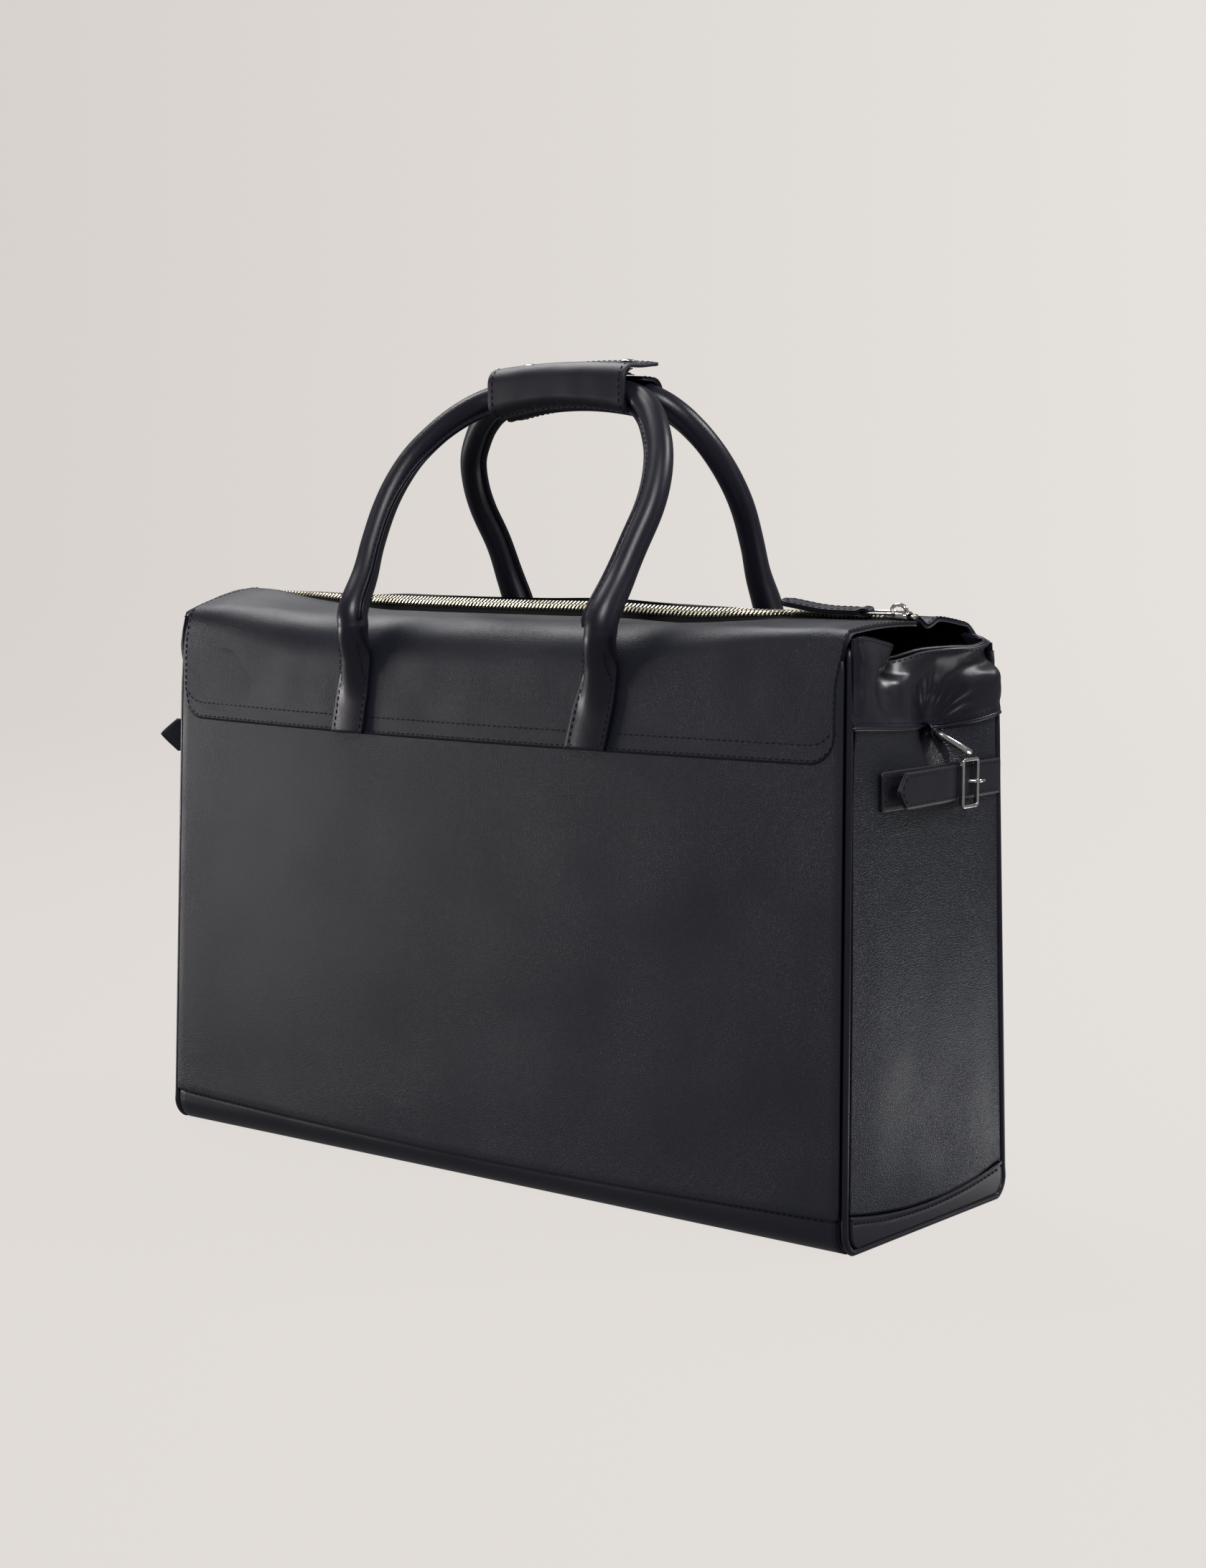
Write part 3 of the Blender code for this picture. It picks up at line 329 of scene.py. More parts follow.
def grid_normals(grid):
    along = np.gradient(grid, axis=0)
    across = np.gradient(grid, axis=1)
    normal = np.cross(along, across)
    size = np.linalg.norm(normal, axis=2, keepdims=True)
    return normal / np.maximum(size, 1e-12)


def skin(name, grid, thickness, look, rim_steps=5):
    """A closed sheet with round edges. The grid is its outer face, whose normal is along x across."""
    grid = np.array(grid, float)
    rows, columns = grid.shape[:2]
    normal = grid_normals(grid)
    vertices = [grid.reshape(-1, 3), (grid - normal * thickness).reshape(-1, 3)]
    behind = rows * columns
    faces = []
    for i in range(rows - 1):
        for j in range(columns - 1):
            a = i * columns + j
            quad = (a, a + columns, a + columns + 1, a + 1)
            faces.append(quad)
            faces.append(tuple(behind + k for k in reversed(quad)))
    rim = [(0, j) for j in range(columns)]
    rim += [(i, columns - 1) for i in range(1, rows)]
    rim += [(rows - 1, j) for j in range(columns - 2, -1, -1)]
    rim += [(i, 0) for i in range(rows - 2, 0, -1)]
    loops = [[i * columns + j for i, j in rim]]
    start = 2 * behind
    radius = thickness / 2
    for k in range(1, rim_steps):
        angle = math.pi * k / rim_steps
        ring = []
        for i, j in rim:
            inner = grid[min(max(i, 1), rows - 2), min(max(j, 1), columns - 2)]
            outward = grid[i, j] - inner
            outward -= normal[i, j] * (outward @ normal[i, j])
            outward /= max(np.linalg.norm(outward), 1e-12)
            turned = outward * math.sin(angle) - normal[i, j] * (1 - math.cos(angle))
            ring.append(grid[i, j] + turned * radius)
        vertices.append(np.array(ring))
        loops.append(list(range(start, start + len(rim))))
        start += len(rim)
    loops.append([behind + i * columns + j for i, j in rim])
    for near, far in zip(loops, loops[1:]):
        for k in range(len(rim)):
            n = (k + 1) % len(rim)
            faces.append((near[k], near[n], far[n], far[k]))
    return make_object(name, np.concatenate(vertices), faces, look)


def ring_faces(count, rings, closed):
    faces = []
    last = rings if closed else rings - 1
    for i in range(last):
        for j in range(count):
            a = i * count + j
            b = i * count + (j + 1) % count
            c = ((i + 1) % rings) * count
            faces.append((a, b, c + (j + 1) % count, c + j))
    if not closed:
        faces.append(tuple(range(count)))
        faces.append(tuple((rings - 1) * count + j for j in range(count)))
    return faces


def loft(name, rings, look, closed=False):
    vertices = [p for ring in rings for p in ring]
    return make_object(name, vertices, ring_faces(len(rings[0]), len(rings), closed), look)


def spline_point(p0, p1, p2, p3, t):
    """A point of a Catmull-Rom curve between its second and third points."""
    near = 2 * p1 + (p2 - p0) * t + (2 * p0 - 5 * p1 + 4 * p2 - p3) * t**2
    return 0.5 * (near + (3 * p1 - p0 - 3 * p2 + p3) * t**3)


def curve(points, steps):
    """A Catmull-Rom curve through points, with a number of steps between each two."""
    points = [Vector(p) for p in points]
    ends = [2 * points[0] - points[1], *points, 2 * points[-1] - points[-2]]
    path = []
    for i in range(1, len(ends) - 2):
        path += [spline_point(*ends[i - 1 : i + 3], k / steps) for k in range(steps)]
    path.append(points[-1])
    return path


def arc(centre, radius, start, end, steps):
    """Points of an arc in a plane, with angles in degrees."""
    points = []
    for i in range(steps + 1):
        angle = math.radians(mix(start, end, i / steps))
        points.append((centre[0] + radius * math.cos(angle), centre[1] + radius * math.sin(angle)))
    return points


def tangents(path, closed=False):
    count = len(path)
    found = []
    for i in range(count):
        before = path[(i - 1) % count] if closed else path[max(i - 1, 0)]
        after = path[(i + 1) % count] if closed else path[min(i + 1, count - 1)]
        found.append((after - before).normalized())
    return found


def wire(name, path, radius, look, sides=14, closed=False, flat=1.0):
    """A round bar along a path; flat squashes its section. Open ends are rounded."""
    path = [Vector(p) for p in path]
    ways = tangents(path, closed)
    side = ways[0].orthogonal().normalized()
    rings = []
    for i, point in enumerate(path):
        side = (side - ways[i] * side.dot(ways[i])).normalized()
        up = ways[i].cross(side)
        sizes = [(0.0, 1.0)]
        if not closed and i == 0:
            sizes = [(-0.98, 0.2), (-0.87, 0.5), (-0.5, 0.87), (0.0, 1.0)]
        elif not closed and i == len(path) - 1:
            sizes = [(0.0, 1.0), (0.5, 0.87), (0.87, 0.5), (0.98, 0.2)]
        for along, size in sizes:
            middle = point + ways[i] * radius * along
            ring = []
            for k in range(sides):
                angle = 2 * math.pi * k / sides
                spoke = side * math.cos(angle) + up * math.sin(angle) * flat
                ring.append(middle + spoke * radius * size)
            rings.append(ring)
    return loft(name, rings, look, closed)


def stitches(name, rows, body, slot):
    """Rows of thread stitches. Each row is a list of (point, surface normal) pairs along a seam."""
    vertices = []
    faces = []
    sides = 6
    for row in rows:
        length = sum((b[0] - a[0]).length for a, b in zip(row, row[1:]))
        count = max(1, int(length / STITCH_PITCH))
        pitch = length / count
        travelled = 0.0
        target = pitch / 2
        for (a, na), (b, nb) in zip(row, row[1:]):
            span = (b - a).length
            while span > 0 and target <= travelled + span:
                t = (target - travelled) / span
                middle = a.lerp(b, t)
                normal = na.lerp(nb, t).normalized()
                way = (b - a).normalized()
                aside = normal.cross(way).normalized()
                way = (way + aside * 0.10).normalized()
                aside = normal.cross(way).normalized()
                base = len(vertices)
                half = STITCH_LENGTH / 2
                sections = ((-1.0, 0.25, -0.8), (-0.82, 0.8, -0.1), (-0.3, 1.0, 0.35), (0.3, 1.0, 0.35))
                sections += ((0.82, 0.8, -0.1), (1.0, 0.25, -0.8))
                for along, size, lift in sections:
                    centre = middle + way * half * along + normal * STITCH_RADIUS * lift
                    for k in range(sides):
                        angle = 2 * math.pi * k / sides
                        spoke = aside * math.cos(angle) + normal * math.sin(angle) * 0.8
                        vertices.append(centre + spoke * STITCH_RADIUS * size)
                for face in ring_faces(sides, len(sections), False):
                    faces.append(tuple(base + v for v in face))
                target += pitch
            travelled += span
    obj = make_object(name, vertices, faces, THREAD_LOOK)
    return place(obj, body, slot)


def row_on(grid, i_path):
    """Pairs of point and normal along a list of (row, column) places in a grid, which may be fractions."""
    grid = np.array(grid, float)
    normal = grid_normals(grid)
    found = []
    for i, j in i_path:
        i0, j0 = min(int(i), grid.shape[0] - 2), min(int(j), grid.shape[1] - 2)
        s, t = i - i0, j - j0
        weights = (((1 - s) * (1 - t), i0, j0), (s * (1 - t), i0 + 1, j0))
        weights += (((1 - s) * t, i0, j0 + 1), (s * t, i0 + 1, j0 + 1))
        point = sum(w * grid[a, b] for w, a, b in weights)
        way = sum(w * normal[a, b] for w, a, b in weights)
        found.append((Vector(point), Vector(way).normalized()))
    return found


# ---------------------------------------------------------------- body


def front_seam_z(x):
    return BAND_Z - FRONT_SEAM_SAG * (1 - (2 * x / LENGTH) ** 2)


def end_seam_z(y):
    return BAND_Z - END_SEAM_SAG * (1 - (2 * y / DEPTH) ** 2)


def softness(x):
    """How softly the shoulder of a flap is rounded: 0 at the ends, where the gussets hold it, 1 between."""
    return smooth_step(0.262, 0.12, abs(x + 0.02))


def make_panels():
    for side, face in ((-1, "front"), (1, "back")):
        grid = []
        for i in range(64):
            row = []
            for j in range(110):
                u = 2 * j / 109 - 1
                low = front_seam_z(u * half_length(BAND_Z)) - 0.002
                high = 0.332 - 0.022 * softness(u * 0.27)
                z = mix(low, high, i / 63)
                x = side * -u * (half_length(z) - CORNER_CLEARANCE - 0.0012)
                hidden = 1 - smooth_step(0.235, 0.268, z)
                edge = smooth_step(1.0, 0.86, abs(u)) * smooth_step(0.02, 0.06, z)
                wave = wobble(x * 7, side * 3.1, z * 9) + 0.5 * wobble(x * 16, side, z * 19)
                swell = 0.0011 * wave * hidden * edge
                row.append((x, side * (half_depth(z) + swell), z))
            grid.append(row)
        panel = skin(face + "_leather_panel", grid, WALL, GRAIN_FRONT)
        place(panel, "bag", "grained_leather", face + "_panel")


def make_linings():
    for side, face in ((-1, "front"), (1, "back")):
        grid = []
        for i in range(30):
            row = []
            for j in range(50):
                u = 2 * j / 49 - 1
                z = mix(0.012, 0.300, i / 29)
                x = side * -u * 0.262
                slack = 0.0012 * wobble(x * 14, side, z * 14) - 0.0012
                row.append((x, side * (half_depth(z) - WALL - 0.0012 + slack), z))
            grid.append(row)
        place(skin(face + "_cloth_lining", grid, 0.0008, CLOTH), "bag", "lining", face + "_lining")
    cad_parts["base_board"].data.materials.clear()
    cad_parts["base_board"].data.materials.append(BOARD_LOOK)


def make_base():
    """The smooth base leather with turned upper edges, one sheet from seam to seam."""
    grid = []
    columns = 120
    for k in range(columns):
        u = 2 * k / (columns - 1) - 1
        x = u * (half_length(BAND_Z) - CORNER_CLEARANCE - 0.0012)
        top = front_seam_z(x) - 0.0012
        corner = half_depth(EDGE_RADIUS) - EDGE_RADIUS
        proud = 0.0007
        side = []
        for i in range(9):
            z = mix(top, EDGE_RADIUS + 0.0006, i / 8)
            roll = 0.0005 * bell(z, top - 0.0012, 0.0014) - 0.0004 * bell(z, top - 0.0034, 0.0007)
            side.append((-half_depth(z) - proud - roll, z))
        side += arc((-corner, EDGE_RADIUS), EDGE_RADIUS + proud, 182, 262, 14)
        side = [(y, max(z, 0.0003)) for y, z in side]
        flat = [(mix(-corner, corner, i / 24), 0.0003) for i in range(1, 24)]
        profile = side + flat + [(-y, z) for y, z in reversed(side)]
        grid.append([(x, y, z) for y, z in profile])
    wrap = skin("base_leather", grid, -WALL, SMOOTH)
    place(wrap, "bag", "smooth_leather", "base_wrap")
    rows = []
    last = len(grid[0]) - 1
    for column in (3.4, last - 3.4):
        rows.append(row_on(grid, [(k, column) for k in range(2, columns - 2)]))
    for row in rows:
        for k, (point, normal) in enumerate(row):
            out = Vector((0, math.copysign(1, point.y), 0))
            row[k] = (point, out)
    stitches("base_stitches", rows, "bag", "smooth_leather")


# Each end's leather follows four lines from the front corner round to the inside of the back corner, at
# the same stations: the seam under the gusset, the middle of its folds, the hollow over them, its top edge.
SEAM_LINE = (
    (0.2700, -0.0790, 0.2960), (0.2706, -0.0690, 0.2955), (0.2704, -0.0540, 0.2945),
    (0.2692, -0.0360, 0.2932), (0.2672, -0.0200, 0.2922), (0.2640, -0.0050, 0.2915),
    (0.2585, 0.0080, 0.2910), (0.2525, 0.0190, 0.2903), (0.2508, 0.0290, 0.2895),
    (0.2545, 0.0400, 0.2894), (0.2655, 0.0560, 0.2922), (0.2704, 0.0700, 0.2950), (0.2700, 0.0800, 0.2965),
)
FOLD_LINE = (
    (0.2697, -0.0783, 0.3180), (0.2722, -0.0690, 0.3185), (0.2695, -0.0540, 0.3175),
    (0.2600, -0.0400, 0.3165), (0.2590, -0.0320, 0.3160), (0.2620, -0.0180, 0.3150),
    (0.2600, -0.0010, 0.3140), (0.2565, 0.0150, 0.3130), (0.2565, 0.0320, 0.3130),
    (0.2680, 0.0520, 0.3150), (0.2722, 0.0680, 0.3165), (0.2715, 0.0765, 0.3180), (0.2690, 0.0795, 0.3190),
)
HOLLOW_LINE = (
    (0.2695, -0.0780, 0.3330), (0.2722, -0.0690, 0.3335), (0.2680, -0.0480, 0.3320),
    (0.2590, -0.0280, 0.3290), (0.2480, -0.0250, 0.3270), (0.2560, -0.0150, 0.3230),
    (0.2590, 0.0060, 0.3250), (0.2600, 0.0260, 0.3255), (0.2620, 0.0450, 0.3260),
    (0.2640, 0.0600, 0.3265), (0.2640, 0.0710, 0.3270), (0.2620, 0.0770, 0.3290), (0.2560, 0.0780, 0.3310),
)
TOP_LINE = (
    (0.2685, -0.0765, 0.3455), (0.2700, -0.0690, 0.3465), (0.2640, -0.0450, 0.3440),
    (0.2570, -0.0175, 0.3388), (0.2400, -0.0200, 0.3350), (0.2510, -0.0123, 0.3305),
    (0.2590, 0.0110, 0.3347), (0.2650, 0.0350, 0.3356), (0.2693, 0.0542, 0.3354),
    (0.2693, 0.0680, 0.3375), (0.2640, 0.0750, 0.3390), (0.2570, 0.0765, 0.3405), (0.2448, 0.0760, 0.3420),
)
PINCH = Vector((0.2510, 0.0285, 0.2893))
END_STEPS = 10
GUSSET_WALL = 0.0022
WELT_RADIUS = 0.0013
INNER_EDGE_RADIUS = 0.0014


def end_lines(hand):
    """The four lines as smooth curves with the same number of points; the left end bulges more."""
    lines = [list(line) for line in (SEAM_LINE, FOLD_LINE, HOLLOW_LINE, TOP_LINE)]
    if hand == "left":
        for line in lines[1:3]:
            x, y, z = line[1]
            line[1] = (x + 0.0065, y, z)
        lines[3][1] = (0.2730, -0.0690, 0.3485)
        lines[3][2] = (0.2765, -0.0380, 0.3570)
        lines[3][3] = (0.2735, -0.0150, 0.3605)
        lines[3][4] = (0.2560, -0.0060, 0.3520)
    return [curve(line, END_STEPS) for line in lines]


def wrinkle(point, hand):
    """Fine folds that fan out from the pinch, and a soft unevenness all over."""
    offset = point - PINCH
    angle = math.atan2(offset.z, offset.y)
    reach = offset.length
    fan = math.sin(angle * 26 + 3 * wobble(reach * 60, angle, 0)) * bell(reach, 0.020, 0.011)
    upward = smooth_step(0.2, 0.8, angle) * smooth_step(2.9, 2.2, angle)
    soft = wobble(point.x * 40, point.y * 40, point.z * 55, 3.0 if hand == "left" else 0.0)
    fine = wobble(point.x * 110, point.y * 110, point.z * 150, 7.0)
    return 0.0008 * fan * upward + 0.0013 * soft + 0.00045 * fine


def turned(grid, sign):
    """The left end is the mirror image, with its rows the other way round to face outwards."""
    points = [[(sign * p[0], p[1], p[2]) for p in row] for row in grid]
    return points if sign > 0 else [row[::-1] for row in points]


def make_band(hand, sign):
    """The smooth leather across the foot of an end, with its stitched upper edge."""
    grid = []
    for i in range(12):
        row = []
        for j in range(60):
            t = 2 * j / 59 - 1
            seam_z = end_seam_z(t * half_depth(BAND_Z)) - 0.0012
            z = mix(0.0036, seam_z, i / 11)
            reach = half_depth(z) - CORNER_CLEARANCE - 0.001
            if z < EDGE_RADIUS:
                radius = EDGE_RADIUS - CORNER_CLEARANCE
                low = half_depth(z) - EDGE_RADIUS + math.sqrt(radius**2 - (EDGE_RADIUS - z) ** 2)
                reach = min(reach, low - 0.001)
            from_top = seam_z - z
            roll = 0.0004 * bell(from_top, 0.0012, 0.0014) - 0.0004 * bell(from_top, 0.0034, 0.0007)
            row.append((half_length(z) + 0.0006 + roll, t * reach, z))
        grid.append(row)
    band = skin(hand + "_band_leather", turned(grid, sign), -WALL, SMOOTH)
    place(band, "bag", "smooth_leather", hand + "_band")
    line = [Vector((sign * (half_length(0.02) + 0.0007), t / 30 * 0.079, 0)) for t in range(-30, 31)]
    for p in line:
        p.z = end_seam_z(p.y) - 0.0046
    out = Vector((sign, 0, 0))
    stitches(hand + "_band_stitches", [[(p, out) for p in line]], "bag", "smooth_leather")


def make_end_panel(hand, sign, seam):
    """The grained leather of an end, which is flat below and drawn in to the seam under the gusset."""
    count = len(seam)
    grid = []
    rows = 90
    for i in range(rows):
        row = []
        for j in range(count):
            station = j / (count - 1)
            pull = seam[j]
            y = mix(-1, 1, station)
            high = pull.z + 0.0016
            low = end_seam_z(y * half_depth(BAND_Z)) - 0.002
            z = mix(low, high, i / (rows - 1))
            reach = half_depth(z) - CORNER_CLEARANCE - 0.0012
            flat_y = y * reach
            flat_y = mix(flat_y, pull.y, 0.55 * smooth_step(0.10, 0.25, z))
            drawn = smooth_step(0.238, 0.292, z) ** 1.25
            inside = half_length(z) - half_length(pull.z)
            x = mix(half_length(z), pull.x + inside, drawn)
            y = mix(flat_y, max(-reach, min(reach, pull.y)), drawn)
            centre = smooth_step(0.082, 0.05, abs(y))
            wave = wobble(y * 15, 5.0 * sign, z * 9) + 0.4 * wobble(y * 34, sign, z * 30)
            belly = 0.0016 * centre * bell(z, 0.14, 0.09)
            x += 0.0010 * wave * centre + belly
            row.append((x, y, z))
        grid.append(row)
    panel = skin(hand + "_end_leather", turned(grid, sign), -WALL, GRAIN_END)
    place(panel, "bag", "grained_leather", hand + "_end_panel")


def make_gusset(hand, sign, seam, fold, hollow, top):
    """The smooth leather over an end, folded along its four lines, with a welt and a turned inner edge."""
    count = len(seam)
    grid = []
    steps = 14
    for k in range(3 * steps + 1):
        part, t = divmod(k / steps, 1)
        part = int(part)
        row = []
        for j in range(count):
            stack = [2 * seam[j] - fold[j], seam[j], fold[j], hollow[j], top[j], 2 * top[j] - hollow[j]]
            if k == 3 * steps:
                point = top[j].copy()
            else:
                point = spline_point(*stack[part : part + 4], t)
            height = k / (3 * steps)
            firm = smooth_step(0, 0.12, height) * smooth_step(1, 0.86, height)
            side = smooth_step(0, 0.06, j / count)
            point.x += 0.0009 + wrinkle(point, hand) * firm * side
            point.x += 0.0006 * bell(height, 0.02, 0.03) - 0.0004 * bell(height, 0.085, 0.02)
            row.append(tuple(point))
        grid.append(row)
    shaft = skin(hand + "_gusset_leather", turned(grid, sign), -GUSSET_WALL, HANDLE)
    place(shaft, "bag", "smooth_leather", hand + "_gusset_shaft")
    welt = [Vector((sign * (p.x + 0.0011), p.y, p.z - 0.0002)) for p in seam[1:-1]]
    piped = wire(hand + "_gusset_welt", welt, WELT_RADIUS, HANDLE, sides=12)
    place(piped, "bag", "smooth_leather")
    turned_in = [Vector((sign * (p.x - 0.0030), p.y, p.z + 0.0003)) for p in top[5 * END_STEPS : -3]]
    inner = wire(hand + "_gusset_inner_edge", turned_in, INNER_EDGE_RADIUS, HANDLE, sides=12)
    place(inner, "bag", "smooth_leather")
    rows = [row_on(grid, [(1.9, j) for j in range(2, count - 4)])]
    edge = 3 * steps - 2.6
    rows.append(row_on(grid, [(edge, j) for j in range(3, 3 * END_STEPS + 2)]))
    rows.append(row_on(grid, [(edge, j) for j in range(5 * END_STEPS, count - 6)]))
    seams = []
    for row in rows:
        seam_row = []
        for p, n in row:
            seam_row.append((Vector((sign * p.x, p.y, p.z)), Vector((-sign * n.x, -n.y, -n.z))))
        seams.append(seam_row)
    stitches(hand + "_gusset_stitches", seams, "bag", "smooth_leather")


def make_ends():
    for hand, sign in (("right", 1), ("left", -1)):
        lines = end_lines(hand)
        make_band(hand, sign)
        make_end_panel(hand, sign, lines[0])
        make_gusset(hand, sign, *lines)


CORNER_STRIP_LOW_Z = 0.2962
CORNER_STRIP_HIGH_Z = 0.3370
CORNER_STRIP_X = 0.2450


def make_corner_strips():
    """Smooth leather beside each piping, over the long walls' top corners, with a stitched lower edge."""
    for hand, sign in (("left", -1), ("right", 1)):
        for face, side in (("front", -1), ("back", 1)):
            grid = []
            for i in range(12):
                z = mix(CORNER_STRIP_LOW_Z, CORNER_STRIP_HIGH_Z, i / 11)
                reach = half_length(z) - CORNER_CLEARANCE - 0.0008
                y = side * (half_depth(z) + 0.0010)
                grid.append([(sign * mix(CORNER_STRIP_X, reach, j / 7), y, z) for j in range(8)])
            strip = skin(f"{hand}_{face}_corner_strip", grid, side * sign * 0.0008, SMOOTH)
            place(strip, "bag", "smooth_leather")
            places = [(0.7, 0.4 + 0.66 * k) for k in range(10)]
            row = [(p, Vector((0, side, 0))) for p, n in row_on(grid, places)]
            stitches(f"{hand}_{face}_corner_stitches", [row], "bag", "smooth_leather")


BACK_PIPING_TOP_Z = 0.305


def make_piping():
    corner = half_depth(EDGE_RADIUS) - EDGE_RADIUS
    radius = EDGE_RADIUS - PIPING_INSET
    path = []
    for z in (0.338, 0.334, 0.30, 0.25, 0.20, 0.15, 0.10, 0.06, 0.03, 0.02):
        tuck = 0.0025 * smooth_step(0.330, 0.338, z)
        path.append(Vector((half_length(z) - PIPING_INSET - tuck, -half_depth(z) + PIPING_INSET + tuck, z)))
    for y, z in arc((-corner, EDGE_RADIUS), radius, 180, 270, 12):
        path.append(Vector((half_length(0) - PIPING_INSET, y, max(z, PIPING_RADIUS + 0.0002))))
    path = curve(path, 3)
    path += [Vector((p.x, -p.y, p.z)) for p in reversed(path) if p.z < BACK_PIPING_TOP_Z]
    for hand, sign in (("right", 1), ("left", -1)):
        points = [Vector((sign * p.x, p.y, p.z)) for p in path]
        cord = wire(hand + "_corded_edge", points, PIPING_RADIUS, PIPING, sides=16)
        place(cord, "bag", "piping_leather", hand + "_piping")


# ---------------------------------------------------------------- flaps

SHOULDER = {"front": 0.3497, "back": 0.3480}
FLAP_THICKNESS = 0.0028
FLAP_HALF_LENGTH = 0.262
FLAP_CORNER = 0.017
FLAP_STITCH_MARGIN = 0.0030


def inner_edge(face, x):
    """Where a flap ends beside the zip, as (y, z): the top dips and rises along the bag."""
    if face == "front":
        z = 0.3496 + 0.0085 * smooth_step(-0.13, -0.262, x) + 0.0031 * smooth_step(0.12, 0.19, x)
        return -0.0080, z - 0.0021 * bell(x, 0.102, 0.036)
    z = 0.3598 - 0.0045 * smooth_step(0.04, 0.145, x) - 0.0010 * bell(x, -0.15, 0.04)
    return 0.0070, z + 0.0009 * bell(x, 0.02, 0.03)


def crown(face, x, t):
    """How far the top of a flap stands above the line from its shoulder to the zip."""
    if face == "front":
        left = 0.0068 * smooth_step(-0.165, -0.262, x) * math.sin(math.pi * min(1.0, t / 0.76) * 0.5)
        if t > 0.76:
            left *= math.cos(math.pi / 2 * (t - 0.76) / 0.24)
        return left + 0.0016 * smooth_step(0.20, 0.268, x) * math.sin(math.pi * t)
    notch = -0.0052 * bell(t, 0.66, 0.10) * smooth_step(0.215, 0.25, x)
    return notch + 0.0020 * math.sin(math.pi * t)


def flap_edge_z(x):
    return 0.2738 + (0.0032 if x < 0 else 0.0012) * (x / 0.262) ** 2


def flap_point(face, x, s):
    """A point of a flap's outer face as (y, z), for s from 0 at its lower edge to 1 at the zip."""
    side = -1 if face == "front" else 1
    shoulder_z = SHOULDER[face]
    shoulder = Vector((half_depth(shoulder_z) + FLAP_STAND_OFF, shoulder_z))
    soft = mix(0.008, 0.030, softness(x)) if face == "front" else mix(0.008, 0.018, softness(x))
    y_in, z_in = inner_edge(face, x)
    inner = Vector((abs(y_in), z_in))
    top = inner - shoulder
    low_z = flap_edge_z(x)
    leg = shoulder_z - low_z
    total = leg + top.length
    along = s * total
    if along < leg - soft:
        z = low_z + along
        y = half_depth(z) + FLAP_STAND_OFF
    elif along > leg + soft:
        t = (along - leg) / top.length
        y, z = shoulder + top * t
        z += crown(face, x, t)
    else:
        t = (along - leg + soft) / (2 * soft)
        start = Vector((half_depth(shoulder_z - soft) + FLAP_STAND_OFF, shoulder_z - soft))
        end = shoulder + top * (soft / top.length)
        end.y += crown(face, x, soft / top.length)
        y, z = start * (1 - t) ** 2 + shoulder * (2 * t * (1 - t)) + end * t**2
    return side * y, z


def flap_half(face, x_sign, z):
    """Half the flap's length at a height, which differs between its two ends."""
    if face == "back":
        return mix(0.2620, 0.2500 if x_sign > 0 else 0.2600, smooth_step(0.325, 0.350, z))
    if x_sign > 0:
        return mix(0.2615, 0.2680, smooth_step(0.315, 0.350, z))
    return mix(0.2640, 0.2600, smooth_step(0.320, 0.352, z))


def make_flaps():
    columns, rows = 150, 76
    for face, side in (("front", -1), ("back", 1)):
        grid = []
        for i in range(rows):
            row = []
            for j in range(columns):
                u = math.sin(math.pi / 2 * (2 * j / (columns - 1) - 1))
                u = mix(u, 2 * j / (columns - 1) - 1, 0.35)
                sign = 1 if u > 0 else -1
                x = u * FLAP_HALF_LENGTH
                inset = max(0.0, abs(x) - (FLAP_HALF_LENGTH - FLAP_CORNER))
                drop = FLAP_CORNER - math.sqrt(max(0.0, FLAP_CORNER**2 - inset**2))
                s = i / (rows - 1)
                start = drop / 0.155
                y, z = flap_point(face, x, mix(start, 1, s))
                x = abs(u) * flap_half(face, sign, z) * sign
                hold = smooth_step(0.0, 0.12, s) * smooth_step(1.0, 0.92, s) * smooth_step(1, 0.93, abs(u))
                wave = wobble(x * 13, side * 2.0, z * 13 + y * 16)
                wave += 0.5 * wobble(x * 34, side, z * 30 + y * 30)
                z += 0.0012 * wave * hold * smooth_step(0.335, 0.352, z)
                y += side * 0.0009 * wave * hold * smooth_step(0.352, 0.325, z)
                row.append((x, y, z))
            grid.append(row)
        if side > 0:
            grid = [row[::-1] for row in grid]
        flap = skin(face + "_flap_leather", grid, -FLAP_THICKNESS, GRAIN_FRONT, rim_steps=7)
        place(flap, "bag", "grained_leather", face + "_flap")
        flat = np.array(grid, float)
        inward = -grid_normals(flat)
        length = np.linalg.norm(np.diff(flat, axis=0), axis=2).sum(0).mean()
        step = length / (rows - 1)
        low = 0.0022 / step
        high = 0.0105 / step
        rim = []
        for i in range(rows - 3, int(low), -1):
            rim.append(offset_in(flat, i, 0, FLAP_STITCH_MARGIN))
        rim += [offset_low(flat, j, low) for j in range(0, columns)]
        for i in range(int(low) + 1, rows - 2):
            rim.append(offset_in(flat, i, columns - 1, FLAP_STITCH_MARGIN))
        edge_row = [(Vector(p), Vector(inward[i][j])) for p, i, j in rim]
        edge_row = drop_close(edge_row, FLAP_STITCH_MARGIN)
        inner_row = row_on(grid, [(high, j) for j in range(2, columns - 2)])
        rows_out = [edge_row, [(p, -n) for p, n in inner_row]]
        stitches(face + "_flap_stitches", rows_out, "bag", "grained_leather")


def offset_in(flat, i, j, width):
    """The point a distance in from a flap's side edge, with the grid place whose normal it has."""
    near = 1 if j == 0 else -1
    place_j = j
    travelled = 0.0
    while travelled < width:
        step = np.linalg.norm(flat[i][place_j + near] - flat[i][place_j])
        if travelled + step >= width:
            t = (width - travelled) / step
            return flat[i][place_j] * (1 - t) + flat[i][place_j + near] * t, i, place_j
        travelled += step
        place_j += near
    return flat[i][place_j], i, place_j


def offset_low(flat, j, low):
    i = int(low)
    t = low - i
    return flat[i][j] * (1 - t) + flat[i + 1][j] * t, i, j


